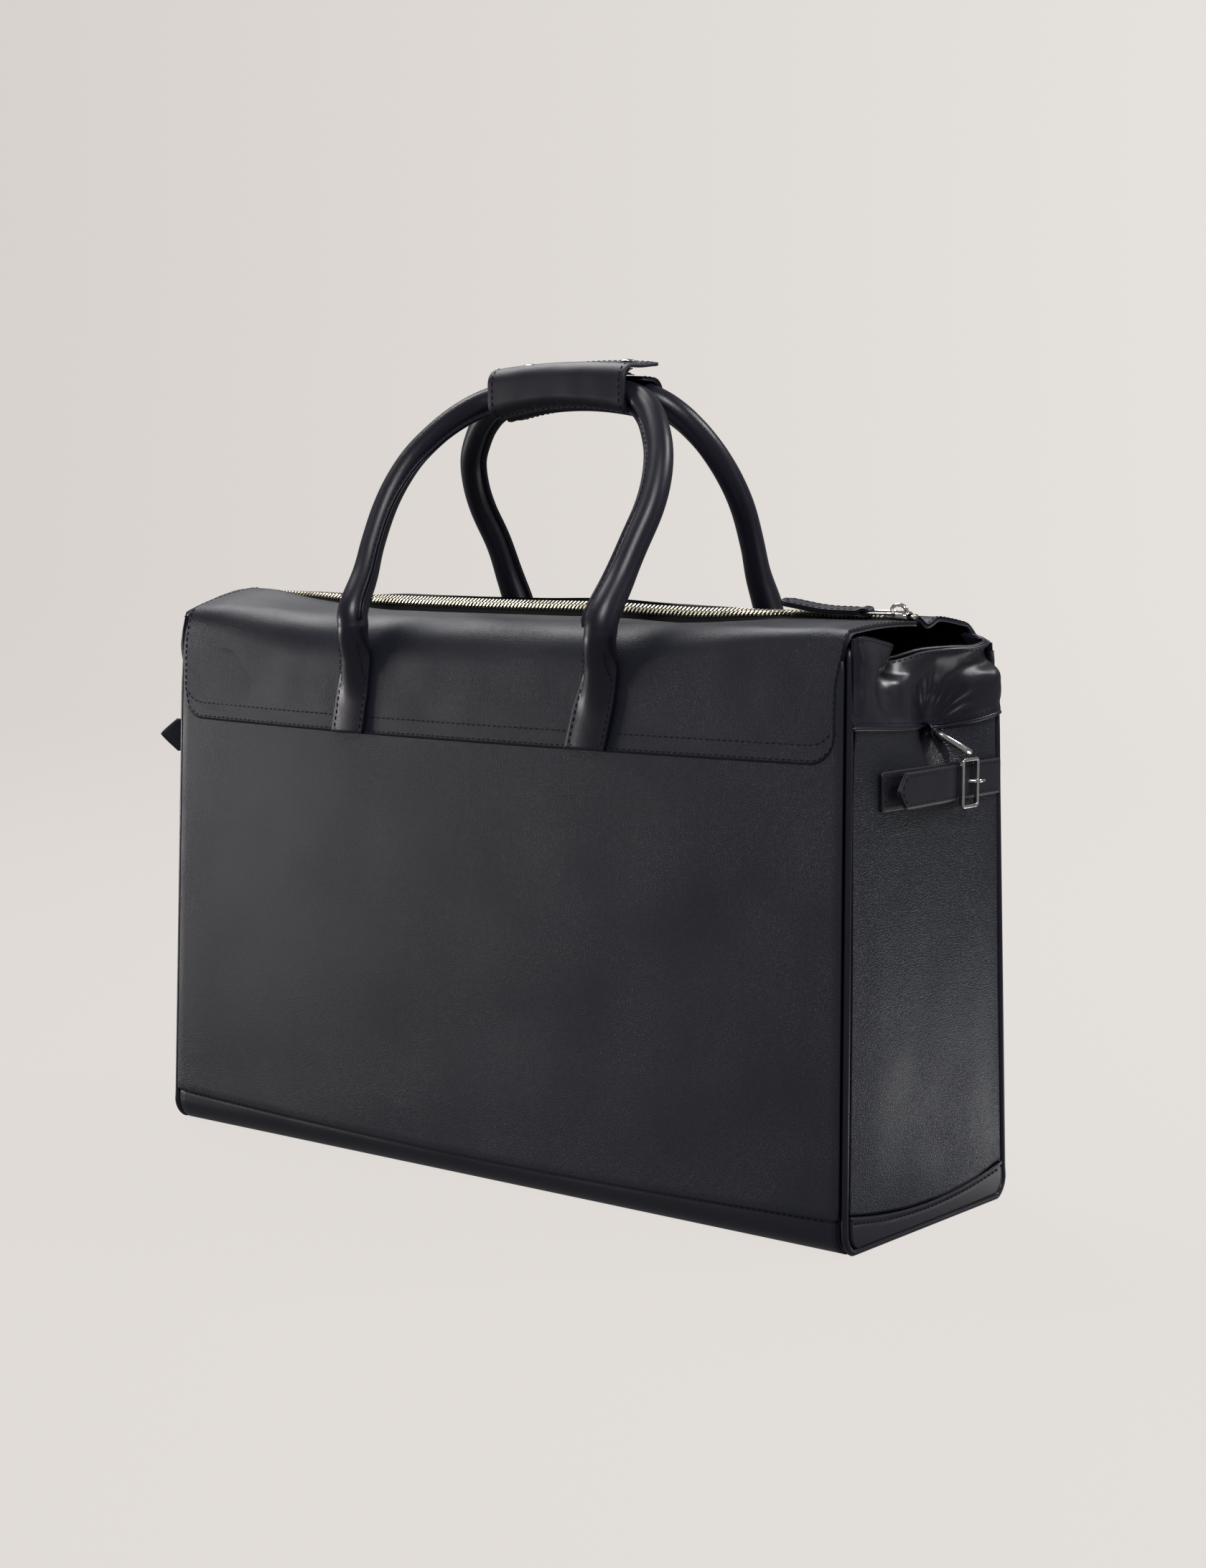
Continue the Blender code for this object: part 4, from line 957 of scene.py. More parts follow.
def drop_close(row, width):
    """Leaves out points of the lower run that come nearer to the side edges than the stitch margin."""
    xs = [p.x for p, n in row]
    low, high = min(xs) + width, max(xs) - width
    kept = []
    for p, n in row:
        if p.z > 0.296 or low + 0.0005 < p.x < high - 0.0005:
            kept.append((p, n))
    return kept


# ---------------------------------------------------------------- zip


def zip_height(x):
    """The zip sags a little between its ends."""
    for (x0, z0), (x1, z1) in zip(ZIP_LINE, ZIP_LINE[1:]):
        if x <= x1:
            return mix(z0, z1, smooth_step(x0, x1, x))
    return ZIP_LINE[-1][1]


def zip_tilt(x):
    """The zip leans towards the front in the middle, where the back flap stands higher."""
    return math.radians(9 + 33 * smooth_step(-0.262, -0.14, x) * smooth_step(0.205, 0.10, x))


def zip_point(x, across, out):
    """A point on the zip: across runs from front to back over the teeth, out is away from the bag."""
    tilt = zip_tilt(x)
    y = across * math.cos(tilt) - out * math.sin(tilt)
    return Vector((x, y, zip_height(x) + across * math.sin(tilt) + out * math.cos(tilt)))


def make_zip():
    tapes = {
        "front": ((-0.0003, 0.0), (-0.0045, 0.0), (-0.0075, -0.0012), (-0.0130, -0.0040)),
        "back": ((0.0003, 0.0), (0.0045, 0.0), (0.0072, -0.0014), (0.0125, -0.0050)),
    }
    for face, profile in tapes.items():
        path = curve([(0, y, z) for y, z in profile], 4)
        grid = []
        for k in range(180):
            x = mix(ZIP_LEFT.x, ZIP_RIGHT.x, k / 179)
            grid.append([tuple(zip_point(x, p.y, p.z)) for p in path])
        tape = skin(face + "_zip_tape", grid, -0.0007 if face == "front" else 0.0007, TAPE_LOOK, 3)
        place(tape, "bag", "zip_tape", "zip_tape_" + face)
    section = ((-0.0007, 0.0007), (-0.0007, 0.0020), (0.0002, 0.0026), (0.0033, 0.0022), (0.0040, 0.0014))
    section += ((0.0040, 0.0003),)
    count = int((TEETH_END_X - ZIP_LEFT.x - 0.004) / TOOTH_PITCH)
    for side, face in ((-1, "front"), (1, "back")):
        vertices = []
        faces = []
        for k in range(count):
            middle = TEETH_END_X - (k + (0.5 if side > 0 else 0.0)) * TOOTH_PITCH
            base = len(vertices)
            widths = ((-0.00058, 0.6), (-0.00036, 1.0), (0.00036, 1.0), (0.00058, 0.6))
            for dx, size in widths:
                for number, (across, out) in enumerate(section):
                    head = 1.3 if number < 3 else 1.0
                    lean = 0.00045 * side * (across - 0.0015) / 0.0025
                    place_out = 0.0012 + (out - 0.0012) * mix(1.0, size, 0.5)
                    vertices.append(zip_point(middle + dx * head + lean, side * across, place_out))
            for face_ring in ring_faces(len(section), len(widths), False):
                faces.append(tuple(base + v for v in face_ring))
        teeth = make_object(face + "_zip_chain", vertices, faces, GOLD_LOOK, smooth=False)
        place(teeth, "bag", "zip_metal", "zip_teeth_" + face)
    for name, x in (("bottom", ZIP_LEFT.x + 0.0022), ("top", ZIP_RIGHT.x + 0.0055)):
        rings = []
        for out, size in ((0.0004, 0.85), (0.0008, 1.0), (0.0020, 1.0), (0.0025, 0.75)):
            ring = []
            for k in range(16):
                angle = 2 * math.pi * k / 16
                dx = math.copysign(abs(math.cos(angle)) ** 0.5, math.cos(angle)) * 0.0013
                across = math.copysign(abs(math.sin(angle)) ** 0.5, math.sin(angle)) * 0.0029
                ring.append(zip_point(x + dx * size, across * size, out))
            rings.append(ring)
        stop = loft(f"zip_{name}_stop_metal", rings, GOLD_LOOK)
        place(stop, "bag", "zip_metal", f"zip_{name}_stop")


SLIDER_X = 0.2505
PULL_HINGE_X = 0.2480
PULL_OUT = 0.0042
PULL_TILT = math.radians(12)
LINK_LENGTH = 0.0160
LINK_HALF_WIDTH = 0.0034
LINK_CORNER = 0.0014
LINK_WIRE = 0.00085
BRIDGE_RADIUS = 0.0013
PULL_LENGTH = 0.0610
PULL_HALF_WIDTH = 0.0052


def pull_point(x, across, out):
    """A point of the link or the leather pull, which lie almost level beside the slider."""
    y = across * math.cos(PULL_TILT) - out * math.sin(PULL_TILT)
    z = across * math.sin(PULL_TILT) + out * math.cos(PULL_TILT)
    return zip_point(SLIDER_X, 0, 0) + Vector((x - SLIDER_X, y - 0.0024, z - 0.0008))


def make_slider():
    """A shield-shaped slider body with side flanges and an arched bridge, and its link."""
    rings = []
    for k in range(15):
        along = k / 14
        x = SLIDER_X + mix(-0.0070, 0.0070, along)
        half = mix(0.0036, 0.0050, smooth_step(0.1, 0.7, along)) - 0.0012 * smooth_step(0.85, 1.0, along)
        crown_out = 0.0036 + 0.0006 * math.sin(math.pi * along)
        section = [(-half, 0.0006), (-half, 0.0026), (-half + 0.0007, crown_out - 0.0003)]
        section += [(0, crown_out), (half - 0.0007, crown_out - 0.0003), (half, 0.0026), (half, 0.0006)]
        section += [(half - 0.0009, 0.0006), (half - 0.0009, 0.0025), (-half + 0.0009, 0.0025)]
        section += [(-half + 0.0009, 0.0006)]
        rings.append([zip_point(x, across, out) for across, out in section])
    body = loft("slider_body", rings, NICKEL_LOOK)
    body.data.set_sharp_from_angle(angle=math.radians(50))
    bevel = body.modifiers.new("soft", "BEVEL")
    bevel.width = 0.0003
    bevel.segments = 2
    bevel.angle_limit = math.radians(50)
    place(body, "zip_slider", "nickel", "zip_slider")
    path = []
    for k in range(13):
        angle = math.pi * k / 12
        out = 0.0036 + 0.0044 * math.sin(angle) ** 0.8
        path.append(zip_point(SLIDER_X + 0.0052 * math.cos(angle), 0, out))
    bridge = wire("slider_bridge", path, BRIDGE_RADIUS, NICKEL_LOOK, sides=14, flat=0.75)
    place(bridge, "zip_slider", "nickel")

    outline = []
    far = -LINK_LENGTH + LINK_CORNER
    wide = LINK_HALF_WIDTH - LINK_CORNER
    corners = ((far, wide, 90), (far, -LINK_HALF_WIDTH + LINK_CORNER, 180))
    corners += ((-0.0003, -LINK_HALF_WIDTH + LINK_CORNER, 270), (-0.0003, wide, 0))
    for x, across, start in corners:
        outline += arc((x, across), LINK_CORNER, start, start + 90, 5)
    points = [pull_point(PULL_HINGE_X + x, across, PULL_OUT) for x, across in outline]
    link = wire("pull_link_wire", points, LINK_WIRE, NICKEL_LOOK, sides=12, closed=True, flat=0.7)
    place(link, "pull_link", "nickel", "pull_link")


def make_leather_pull():
    """Two stitched layers of leather, joined by a fold round the link's far bar."""
    hinge_x = PULL_HINGE_X - LINK_LENGTH
    for name, outer, inner in (("upper", 0.0016, 0.0002), ("lower", -0.0001, -0.0014)):
        grid = []
        for k in range(46):
            t = k / 45
            x = hinge_x + 0.0012 - t * PULL_LENGTH
            rise = 0.0052 * t**2.0 + 0.0003 * math.sin(t * 9)
            bump = 0.0015 * bell(t, 0.055, 0.05)
            width = PULL_HALF_WIDTH * mix(0.72, 1.0, smooth_step(0.04, 0.16, t))
            width *= 1 - 0.30 * smooth_step(0.93, 1.0, t)
            lift = bump if name == "upper" else -0.4 * bump
            row = []
            for m in range(9):
                across = mix(-1, 1, m / 8)
                edge = 0.0003 * smooth_step(0.7, 1.0, abs(across))
                out = PULL_OUT + rise + outer - (edge if name == "upper" else 0) + lift
                row.append(tuple(pull_point(x, across * width, out)))
            grid.append(row)
        layer = skin("pull_leather_" + name, grid, -(outer - inner), STRAP, 5)
        place(layer, "leather_pull", "smooth_leather")
        if name == "upper":
            rows = []
            for column in (1.3, 6.7):
                seam = row_on(grid, [(k, column) for k in range(7, 43)])
                rows.append([(p, -n) for p, n in seam])
            seam = row_on(grid, [(42.5, mix(1.3, 6.7, k / 6)) for k in range(7)])
            rows.append([(p, -n) for p, n in seam])
            stitches("pull_stitches", rows, "leather_pull", "smooth_leather")
    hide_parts("leather_pull")
    turn = []
    for m in range(5):
        across = mix(-0.0031, 0.0031, m / 4)
        ring = []
        for k in range(16):
            angle = 2 * math.pi * k / 16
            x = hinge_x + 0.0012 * math.cos(angle) * 1.7
            ring.append(pull_point(x, across, PULL_OUT + 0.0031 * math.sin(angle)))
        turn.append(ring)
    fold = loft("pull_leather_fold", turn, STRAP)
    soften = fold.modifiers.new("soft", "BEVEL")
    soften.width = 0.0006
    soften.segments = 3
    soften.angle_limit = math.radians(60)
    place(fold, "leather_pull", "smooth_leather")


# ---------------------------------------------------------------- handles

# Half of an arch, from its crown to its pivot: distance along X from the middle, distance from the bag's
# middle plane, height.
ARCH = (
    (0.0000, 0.0097, 0.4915), (0.0220, 0.0097, 0.4910), (0.0450, 0.0098, 0.4885), (0.0640, 0.0105, 0.4838),
    (0.0785, 0.0160, 0.4755), (0.0905, 0.0235, 0.4640), (0.1005, 0.0320, 0.4500), (0.1065, 0.0415, 0.4335),
    (0.1085, 0.0515, 0.4160), (0.1065, 0.0640, 0.3945), (0.1045, 0.0750, 0.3750), (0.1030, PIVOT_Y, PIVOT_Z),
)
ARCH_BASE = ARCH[-1][0]
CROWN_X = 0.006
# Each tab: the middle of its lower end and of its upper end along X.
TABS = {
    "front": {"left": (-0.1090, -0.0970), "right": (0.0865, 0.1035)},
    "back": {"left": (-0.1200, -0.1185), "right": (0.0905, 0.0935)},
}
FOOT_MIDDLE = {"front": 0.0007, "back": -0.0060}
TAB_LOW_Z = 0.2746
TAB_JOIN_Z = 0.3430
RING_SIDES = 40
FOOT_RADIUS = 0.0098


def tube_radius(z):
    """The rolled handle is thicker towards its feet."""
    return mix(TUBE_RADIUS, FOOT_RADIUS, smooth_step(0.392, 0.345, z))


def arch_points(face):
    """The centre line of one handle, from its left pivot over the grip to its right pivot."""
    side = -1 if face == "front" else 1
    points = []
    for hand, tab, half in ((-1, "left", ARCH[::-1]), (1, "right", ARCH[1:])):
        for x, y, z in half:
            centre = mix(CROWN_X, FOOT_MIDDLE[face], min(1.0, x / ARCH_BASE) ** 2)
            foot = TABS[face][tab][1] - FOOT_MIDDLE[face] - hand * ARCH_BASE
            drawn = foot * smooth_step(0.388, PIVOT_Z, z)
            points.append(Vector((centre + hand * x + drawn, side * y, z)))
    return points


def tab_ring(face, hand, z):
    """One horizontal section of a tab: flat margins that close round a swelling tube as it rises."""
    side = -1 if face == "front" else 1
    low_x, high_x = TABS[face][hand]
    t = (z - TAB_LOW_Z) / (TAB_JOIN_Z - TAB_LOW_Z)
    middle = mix(low_x, high_x, max(0.0, t))
    swell = smooth_step(0.292, 0.336, z)
    gather = smooth_step(0.296, 0.341, z)
    half = mix(0.0135 if hand == "left" else 0.0150, FOOT_RADIUS + 0.0006, gather)
    back = flap_point(face, middle, 0)[0]
    back = abs(back) - SIDE_TAPER * (z - flap_edge_z(middle))
    back += 0.0003
    sheet = 0.0032
    ring = []
    for k in range(RING_SIDES):
        angle = 2 * math.pi * k / RING_SIDES
        along, out = math.sin(angle), -math.cos(angle)
        flat_along = math.copysign(min(1.0, abs(along) * 1.25) ** 0.75, along)
        flat_out = sheet * (0.5 + 0.5 * math.copysign(abs(out) ** 0.25, out))
        inside = min(1.0, abs(flat_along) * half / 0.0104)
        bulge = (0.0008 + 0.0110 * swell) * math.cos(inside * math.pi / 2) ** 0.8
        if out > 0:
            flat_out += bulge * smooth_step(0.0, 0.35, out)
        round_out = FOOT_RADIUS * (1 + out)
        close = smooth_step(0.322, TAB_JOIN_Z, z)
        x = middle + mix(flat_along * half, along * FOOT_RADIUS, close)
        y = back + mix(flat_out, round_out, close)
        ring.append(Vector((x, side * y, z)))
    return ring


def make_handles():
    for face, side in (("front", -1), ("back", 1)):
        rings = []
        heights = [mix(TAB_LOW_Z, TAB_JOIN_Z, k / 30) for k in range(31)]
        left_rings = [tab_ring(face, "left", z) for z in heights]
        right_rings = [tab_ring(face, "right", z) for z in heights]
        centres = []
        for ring in (left_rings[-1], right_rings[-1]):
            centres.append(sum(ring, Vector()) / RING_SIDES)
        arch = arch_points(face)[1:-1]
        bends = []
        for foot, above in ((centres[0], arch[0]), (centres[1], arch[-1])):
            bend = foot.lerp(above, 0.34)
            bend.y += side * 0.0034
            bends.append(bend)
        path = curve([centres[0], bends[0], *arch, bends[1], centres[1]], 9)
        ways = tangents(path)
        for k, point in enumerate(path):
            upright = Vector((0, 0, 1 if k < len(path) / 2 else -1))
            ways[k] = ways[k].lerp(upright, smooth_step(0.356, TAB_JOIN_Z, point.z)).normalized()
        out = Vector((0, side, 0))
        for point, way in zip(path[1:-1], ways[1:-1]):
            flat_out = (out - way * out.dot(way)).normalized()
            along = way.cross(flat_out) * -side
            ring = []
            crease = 1 + 0.006 * wobble(point.x * 90, point.y * 90, point.z * 90)
            for k in range(RING_SIDES):
                angle = 2 * math.pi * k / RING_SIDES
                spoke = along * math.sin(angle) - flat_out * math.cos(angle)
                ring.append(point + spoke * tube_radius(point.z) * crease)
            rings.append(ring)
        whole = left_rings + rings + right_rings[::-1]
        handle = loft(face + "_handle_leather", untwist(whole), HANDLE)
        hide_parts(face + "_handle_tube", face + "_left_tab", face + "_right_tab")
        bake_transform(handle)
        make_handle_seam(face, side, path, ways)
        make_tab_stitches(face)


def untwist(rings):
    """Starts each ring at the point nearest the ring before, in the same turning sense."""
    fixed = [rings[0]]
    for ring in rings[1:]:
        last = fixed[-1]
        best = None
        for turned in (ring, ring[::-1]):
            for shift in range(len(ring)):
                gaps = [turned[(k + shift) % len(ring)] - last[k] for k in range(0, len(ring), 5)]
                total = sum(gap.length for gap in gaps)
                if best is None or total < best[0]:
                    best = (total, [turned[(k + shift) % len(ring)] for k in range(len(ring))])
        fixed.append(best[1])
    return fixed


def seam_frame(way, side):
    """Directions inwards and sideways from a point of the arch, towards the middle of the grip."""
    inward = Vector((way.z, side * 0.35, -way.x))
    inward = (inward - way * inward.dot(way)).normalized()
    return inward, way.cross(inward).normalized()


def make_handle_seam(face, side, path, ways):
    """The closed seam of the rolled leather: two edges pressed together on the inner side of the arch."""
    for number, shift in enumerate((-0.00085, 0.00085)):
        grid = []
        for point, way in list(zip(path, ways))[4:-4]:
            inward, beside = seam_frame(way, side)
            ends = smooth_step(TAB_JOIN_Z - 0.001, TAB_JOIN_Z + 0.007, point.z)
            middle = point + beside * shift
            row = []
            for k in range(16):
                angle = 2 * math.pi * k / 16
                reach = tube_radius(point.z) - 0.0016 + 0.0023 * ends * (1 + math.cos(angle))
                row.append(middle + inward * reach + beside * 0.00082 * math.sin(angle))
            grid.append(row)
        seam = loft(f"{face}_handle_seam_{number}", grid, HANDLE)
        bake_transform(seam)
    rows = []
    for turn in (-1, 1):
        row = []
        for point, way in list(zip(path, ways))[8:-8]:
            inward, beside = seam_frame(way, side)
            spot = point + inward * (tube_radius(point.z) + 0.0008) + beside * turn * 0.00172
            row.append((spot, beside * turn))
        rows.append([p for p in row if p[0].z > PIVOT_Z + 0.012])
    stitches(face + "_handle_stitches", rows, "handle_" + face, "handle_leather")


def make_tab_stitches(face):
    side = -1 if face == "front" else 1
    rows = []
    for hand in ("left", "right"):
        edges = {-1: [], 1: []}
        for k in range(25):
            z = mix(TAB_LOW_Z + 0.0026, 0.3330, k / 24)
            ring = tab_ring(face, hand, z)
            xs = [p.x for p in ring]
            middle, half = (min(xs) + max(xs)) / 2, (max(xs) - min(xs)) / 2
            for sign, row in edges.items():
                x = middle + sign * (half - 0.0027)
                y = max(abs(p.y) for p in ring if abs(p.x - x) < 0.0016)
                row.append((Vector((x, side * (y + 0.00005), z)), Vector((0, side, 0))))
        low_z = TAB_LOW_Z + 0.0026
        left, right = edges[-1][0][0], edges[1][0][0]
        lower = [(left.lerp(right, k / 8), Vector((0, side, 0))) for k in range(9)]
        for p, n in lower:
            p.z = low_z
        rows += [edges[-1], edges[1], lower]
    stitches(face + "_tab_stitches", rows, "bag", "handle_leather")


# ---------------------------------------------------------------- grip wrap

WRAP_LEFT = -0.045
WRAP_RIGHT = 0.063
WRAP_HALF_DEPTH = 0.0208
WRAP_LOW_Z = 0.4762
WRAP_HIGH_Z = 0.5076
WRAP_WALL = 0.0024
BACK_HIGH_Z = 0.5002
WRAP_CORNER = 0.0100
WRAP_HOLLOW = 0.0033
LIP_HINGE_Y = -0.0060
LIP_FAR_Y = 0.0185
SNAP_CAP_RADIUS = 0.0050
SNAP_STUD_RADIUS = 0.0040


def wrap_drop(x):
    return 0.9 * (x - (WRAP_LEFT + WRAP_RIGHT) / 2) ** 2


def wrap_grid(path, shape):
    """A grid that carries a profile in (y, z) along the grip; shape moves each point a little."""
    grid = []
    for k in range(46):
        u = k / 45
        x = mix(WRAP_LEFT, WRAP_RIGHT, u)
        row = []
        for number, (y, z) in enumerate(path):
            dx, dy, dz = shape(u, number / (len(path) - 1), x, y, z)
            dz += WRAP_HOLLOW * (1 - (2 * u - 1) ** 2) * smooth_step(0.493, 0.478, z)
            row.append((x + dx, y + dy, z - wrap_drop(x) + dz))
        grid.append(row)
    return grid


def make_wrap():
    corner_y = WRAP_HALF_DEPTH - WRAP_CORNER
    profile = [(-0.0010, WRAP_LOW_Z - 0.0016), (-0.0022, WRAP_LOW_Z - 0.0003)]
    profile += arc((-corner_y, WRAP_LOW_Z + WRAP_CORNER), WRAP_CORNER, 262, 180, 9)
    profile += arc((-corner_y, WRAP_HIGH_Z - WRAP_CORNER), WRAP_CORNER, 180, 96, 9)
    steps = 16
    profile += [(mix(-corner_y + 0.002, LIP_FAR_Y, k / steps), WRAP_HIGH_Z) for k in range(1, steps + 1)]

    def front_shape(u, v, x, y, z):
        """Round corners at the lip, a soft swell and small wrinkles where the wrap bends under."""
        edge = min(u, 1 - u) * (WRAP_RIGHT - WRAP_LEFT)
        far = max(0.0, 0.006 - (LIP_FAR_Y - y))
        pull = 0.0
        if far > 0:
            pull = (0.006 - math.sqrt(max(0.0, 0.006**2 - far**2))) * (1 if u < 0.5 else -1)
            pull *= smooth_step(0.5, 0.0, min(u, 1 - u) * 2)
        middle = smooth_step(0.0, 0.03, edge)
        swell = 0.0008 * middle * (1 - v) + 0.0004 * wobble(x * 60, y * 60, z * 60)
        lift = 0.0012 * smooth_step(LIP_HINGE_Y, LIP_FAR_Y, y) * (1 + 0.6 * u)
        under = bell(v, 0.10, 0.07) * 0.00035 * math.sin(x * 900 + 2 * wobble(x * 80, 0, 0))
        return pull, -swell if y < -0.012 else 0.0, lift + under * middle

    grid = wrap_grid(profile, front_shape)
    wrap = skin("grip_front_leather", grid, WRAP_WALL, WRAP, 6)
    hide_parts("grip_wrap_front", "grip_wrap_lip")
    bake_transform(wrap)
    count = len(profile) - 1
    lip_start = next(k for k, p in enumerate(profile) if p[0] > LIP_HINGE_Y - 0.003 and p[1] > 0.5)
    rows = []
    for column in (1.2, 43.8):
        rows.append(row_on(grid, [(column, k) for k in range(3, lip_start)]))
    rows.append(row_on(grid, [(k, 2.0) for k in range(1, 45)]))
    stitches("grip_front_stitches", rows, "handle_front", "handle_leather")
    rows = []
    for column in (1.2, 43.8):
        rows.append(row_on(grid, [(column, k) for k in range(lip_start + 1, count - 1)]))
    rows.append(row_on(grid, [(k, count - 1.6) for k in range(2, 44)]))
    stitches("grip_lip_stitches", rows, "wrap_lip", "handle_leather")

    lining = [(y * 0.89 + 0.0004, z + (0.0022 if z < 0.49 else -0.0026)) for y, z in profile[1:lip_start]]
    grid = wrap_grid(lining, lambda u, v, x, y, z: (0.0004 - 0.0008 * u, 0, 0))
    inside = skin("grip_front_inner", grid, 0.0010, SMOOTH, 4)
    place(inside, "handle_front", "handle_leather")

    profile = [(0.0010, WRAP_LOW_Z - 0.0016), (0.0022, WRAP_LOW_Z - 0.0003)]
    profile += arc((corner_y, WRAP_LOW_Z + WRAP_CORNER), WRAP_CORNER, 278, 360, 9)
    profile += arc((corner_y, BACK_HIGH_Z - WRAP_CORNER), WRAP_CORNER, 0, 82, 9)
    profile += [(mix(corner_y + 0.0014, 0.0010, k / 7), BACK_HIGH_Z) for k in range(1, 8)]

    def back_shape(u, v, x, y, z):
        swell = 0.0006 * wobble(x * 60, y * 60 + 9, z * 60)
        return 0.0, swell, 0.0005 * math.sin(u * 7) * smooth_step(0.6, 1.0, v) - 0.0003

    grid = wrap_grid(profile, back_shape)
    back = skin("grip_back_leather", grid, -WRAP_WALL, WRAP, 6)
    place(back, "handle_back", "handle_leather", "grip_wrap_back")
    rows = []
    count = len(profile) - 1
    for column in (1.2, 43.8):
        rows.append([(p, -n) for p, n in row_on(grid, [(column, k) for k in range(3, count - 1)])])
    rows.append([(p, -n) for p, n in row_on(grid, [(k, 2.0) for k in range(1, 45)])])
    stitches("grip_back_stitches", rows, "handle_back", "handle_leather")
    make_snaps()


def make_snaps():
    for hand, x in (("left", -0.0327), ("right", 0.0467)):
        slope = math.atan(1.8 * (x - (WRAP_LEFT + WRAP_RIGHT) / 2))
        turn = Matrix.Rotation(slope, 3, "Y")
        dome = ((0.0, 1.0), (0.0003, 1.06), (0.0006, 1.0), (0.0010, 0.86), (0.0014, 0.60), (0.0016, 0.30))
        dome += ((0.00165, 0.05),)
        top = Vector((x, 0.006, WRAP_HIGH_Z - wrap_drop(x) + 0.0010))
        cap = lathe(f"snap_{hand}_cap_dome", top, turn, dome, SNAP_CAP_RADIUS)
        place(cap, "wrap_lip", "nickel", "snap_cap_" + hand)
        stud = ((0.0, 1.0), (0.0006, 1.0), (0.0008, 0.55), (0.0012, 0.50), (0.0015, 0.30), (0.0016, 0.05))
        top = Vector((x, 0.006, BACK_HIGH_Z - wrap_drop(x) + 0.0002))
        post = lathe(f"snap_{hand}_stud_post", top, turn, stud, SNAP_STUD_RADIUS)
        place(post, "handle_back", "nickel", "snap_stud_" + hand)


def lathe(name, base, turn, outline, radius):
    """A turned piece: its outline is (height, share of the radius)."""
    rings = []
    for height, size in outline:
        ring = []
        for k in range(28):
            angle = 2 * math.pi * k / 28
            spot = Vector((radius * size * math.cos(angle), radius * size * math.sin(angle), height))
            ring.append(base + turn @ spot)
        rings.append(ring)
    return loft(name, rings, NICKEL_LOOK)


# ---------------------------------------------------------------- end straps

STRAP_Z = 0.2587
STRAP_WIDTH = 0.0215
STRAP_WALL = 0.0018
STRAP_FACE_X = LENGTH / 2 - END_TAPER * 0.2412
HEEL_Y = 0.0291
TIP_BAR_Y = 0.0454
BUCKLE_Z = 0.2575
BUCKLE_HEIGHT = 0.0296
BUCKLE_OUT = 0.0052
BUCKLE_BAR = 0.0022
BUCKLE_CORNER = 0.0016
PRONG_RADIUS = 0.00105
BILLET_SPLIT_Y = 0.0030
TIP_LENGTH = 0.0480
TIP_ROWS = 26
TIP_COLUMNS = 15
TIP_MARGIN = 1.7
STRAP_SHIFT = {"right": 0.0, "left": 0.0245}
TIP_STAND_OFF = {"right": 0.0030, "left": 0.026}
TIP_RISE = {"right": 0.0, "left": 0.0040}
RING_WIRE = 0.00195
RING_HALF_WIDTH = 0.0105
RING_LENGTH = 0.0225
RING_BAR = Vector((0.2600, 0.0262, 0.2868))
RING_SLOPE = math.radians(30)
RING_TURN = math.radians(38.8)


def strap_grid(path, sign, steps=10):
    """A strap's outer face along a path of (y, distance out), facing outwards at either end."""
    grid = []
    for y, out in path:
        row = []
        for k in range(steps + 1):
            u = k / steps - 0.5
            x = STRAP_FACE_X + out - 0.0003 * abs(2 * u) ** 4
            row.append((sign * x, y, STRAP_Z + u * STRAP_WIDTH))
        grid.append(row)
    return grid


def stitch_row(grid, sign, places):
    """A row of stitches over places in a grid, which all stand outwards along X."""
    return [(p, Vector((sign, 0, 0))) for p, n in row_on(grid, places)]


def strap_rows(grid, sign, ends=(0, 0), margin=1.25):
    rows = []
    last = len(grid[0]) - 1
    for column in (margin, last - margin):
        rows.append(stitch_row(grid, sign, [(k, column) for k in range(ends[0], len(grid) - ends[1])]))
    return rows


def billet_grid(path, hand, sign, split):
    """The outer face of a billet: its run through the buckle, then its free pointed tip."""
    grid = []
    for p in path[:-1]:
        row = []
        for m in range(TIP_COLUMNS):
            u = mix(-1, 1, m / (TIP_COLUMNS - 1))
            out = p.y - 0.0003 * abs(u) ** 4
            row.append((sign * (STRAP_FACE_X + out), p.x, STRAP_Z + u * (STRAP_WIDTH / 2 - 0.0002)))
        grid.append(row)
    for k in range(TIP_ROWS):
        row = []
        for m in range(TIP_COLUMNS):
            u = mix(-1, 1, m / (TIP_COLUMNS - 1))
            y = split - k / (TIP_ROWS - 1) * (TIP_LENGTH - 0.0085 * abs(u) ** 1.15)
            along = (split - y) / TIP_LENGTH
            out = 0.0072 + TIP_STAND_OFF[hand] * along**1.6
            out += 0.0010 * along * math.sin(along * 4) - 0.0003 * abs(u) ** 4
            z = STRAP_Z + TIP_RISE[hand] * along + u * (STRAP_WIDTH / 2 - 0.0002)
            row.append((sign * (STRAP_FACE_X + out), y, z))
        grid.append(row)
    return grid


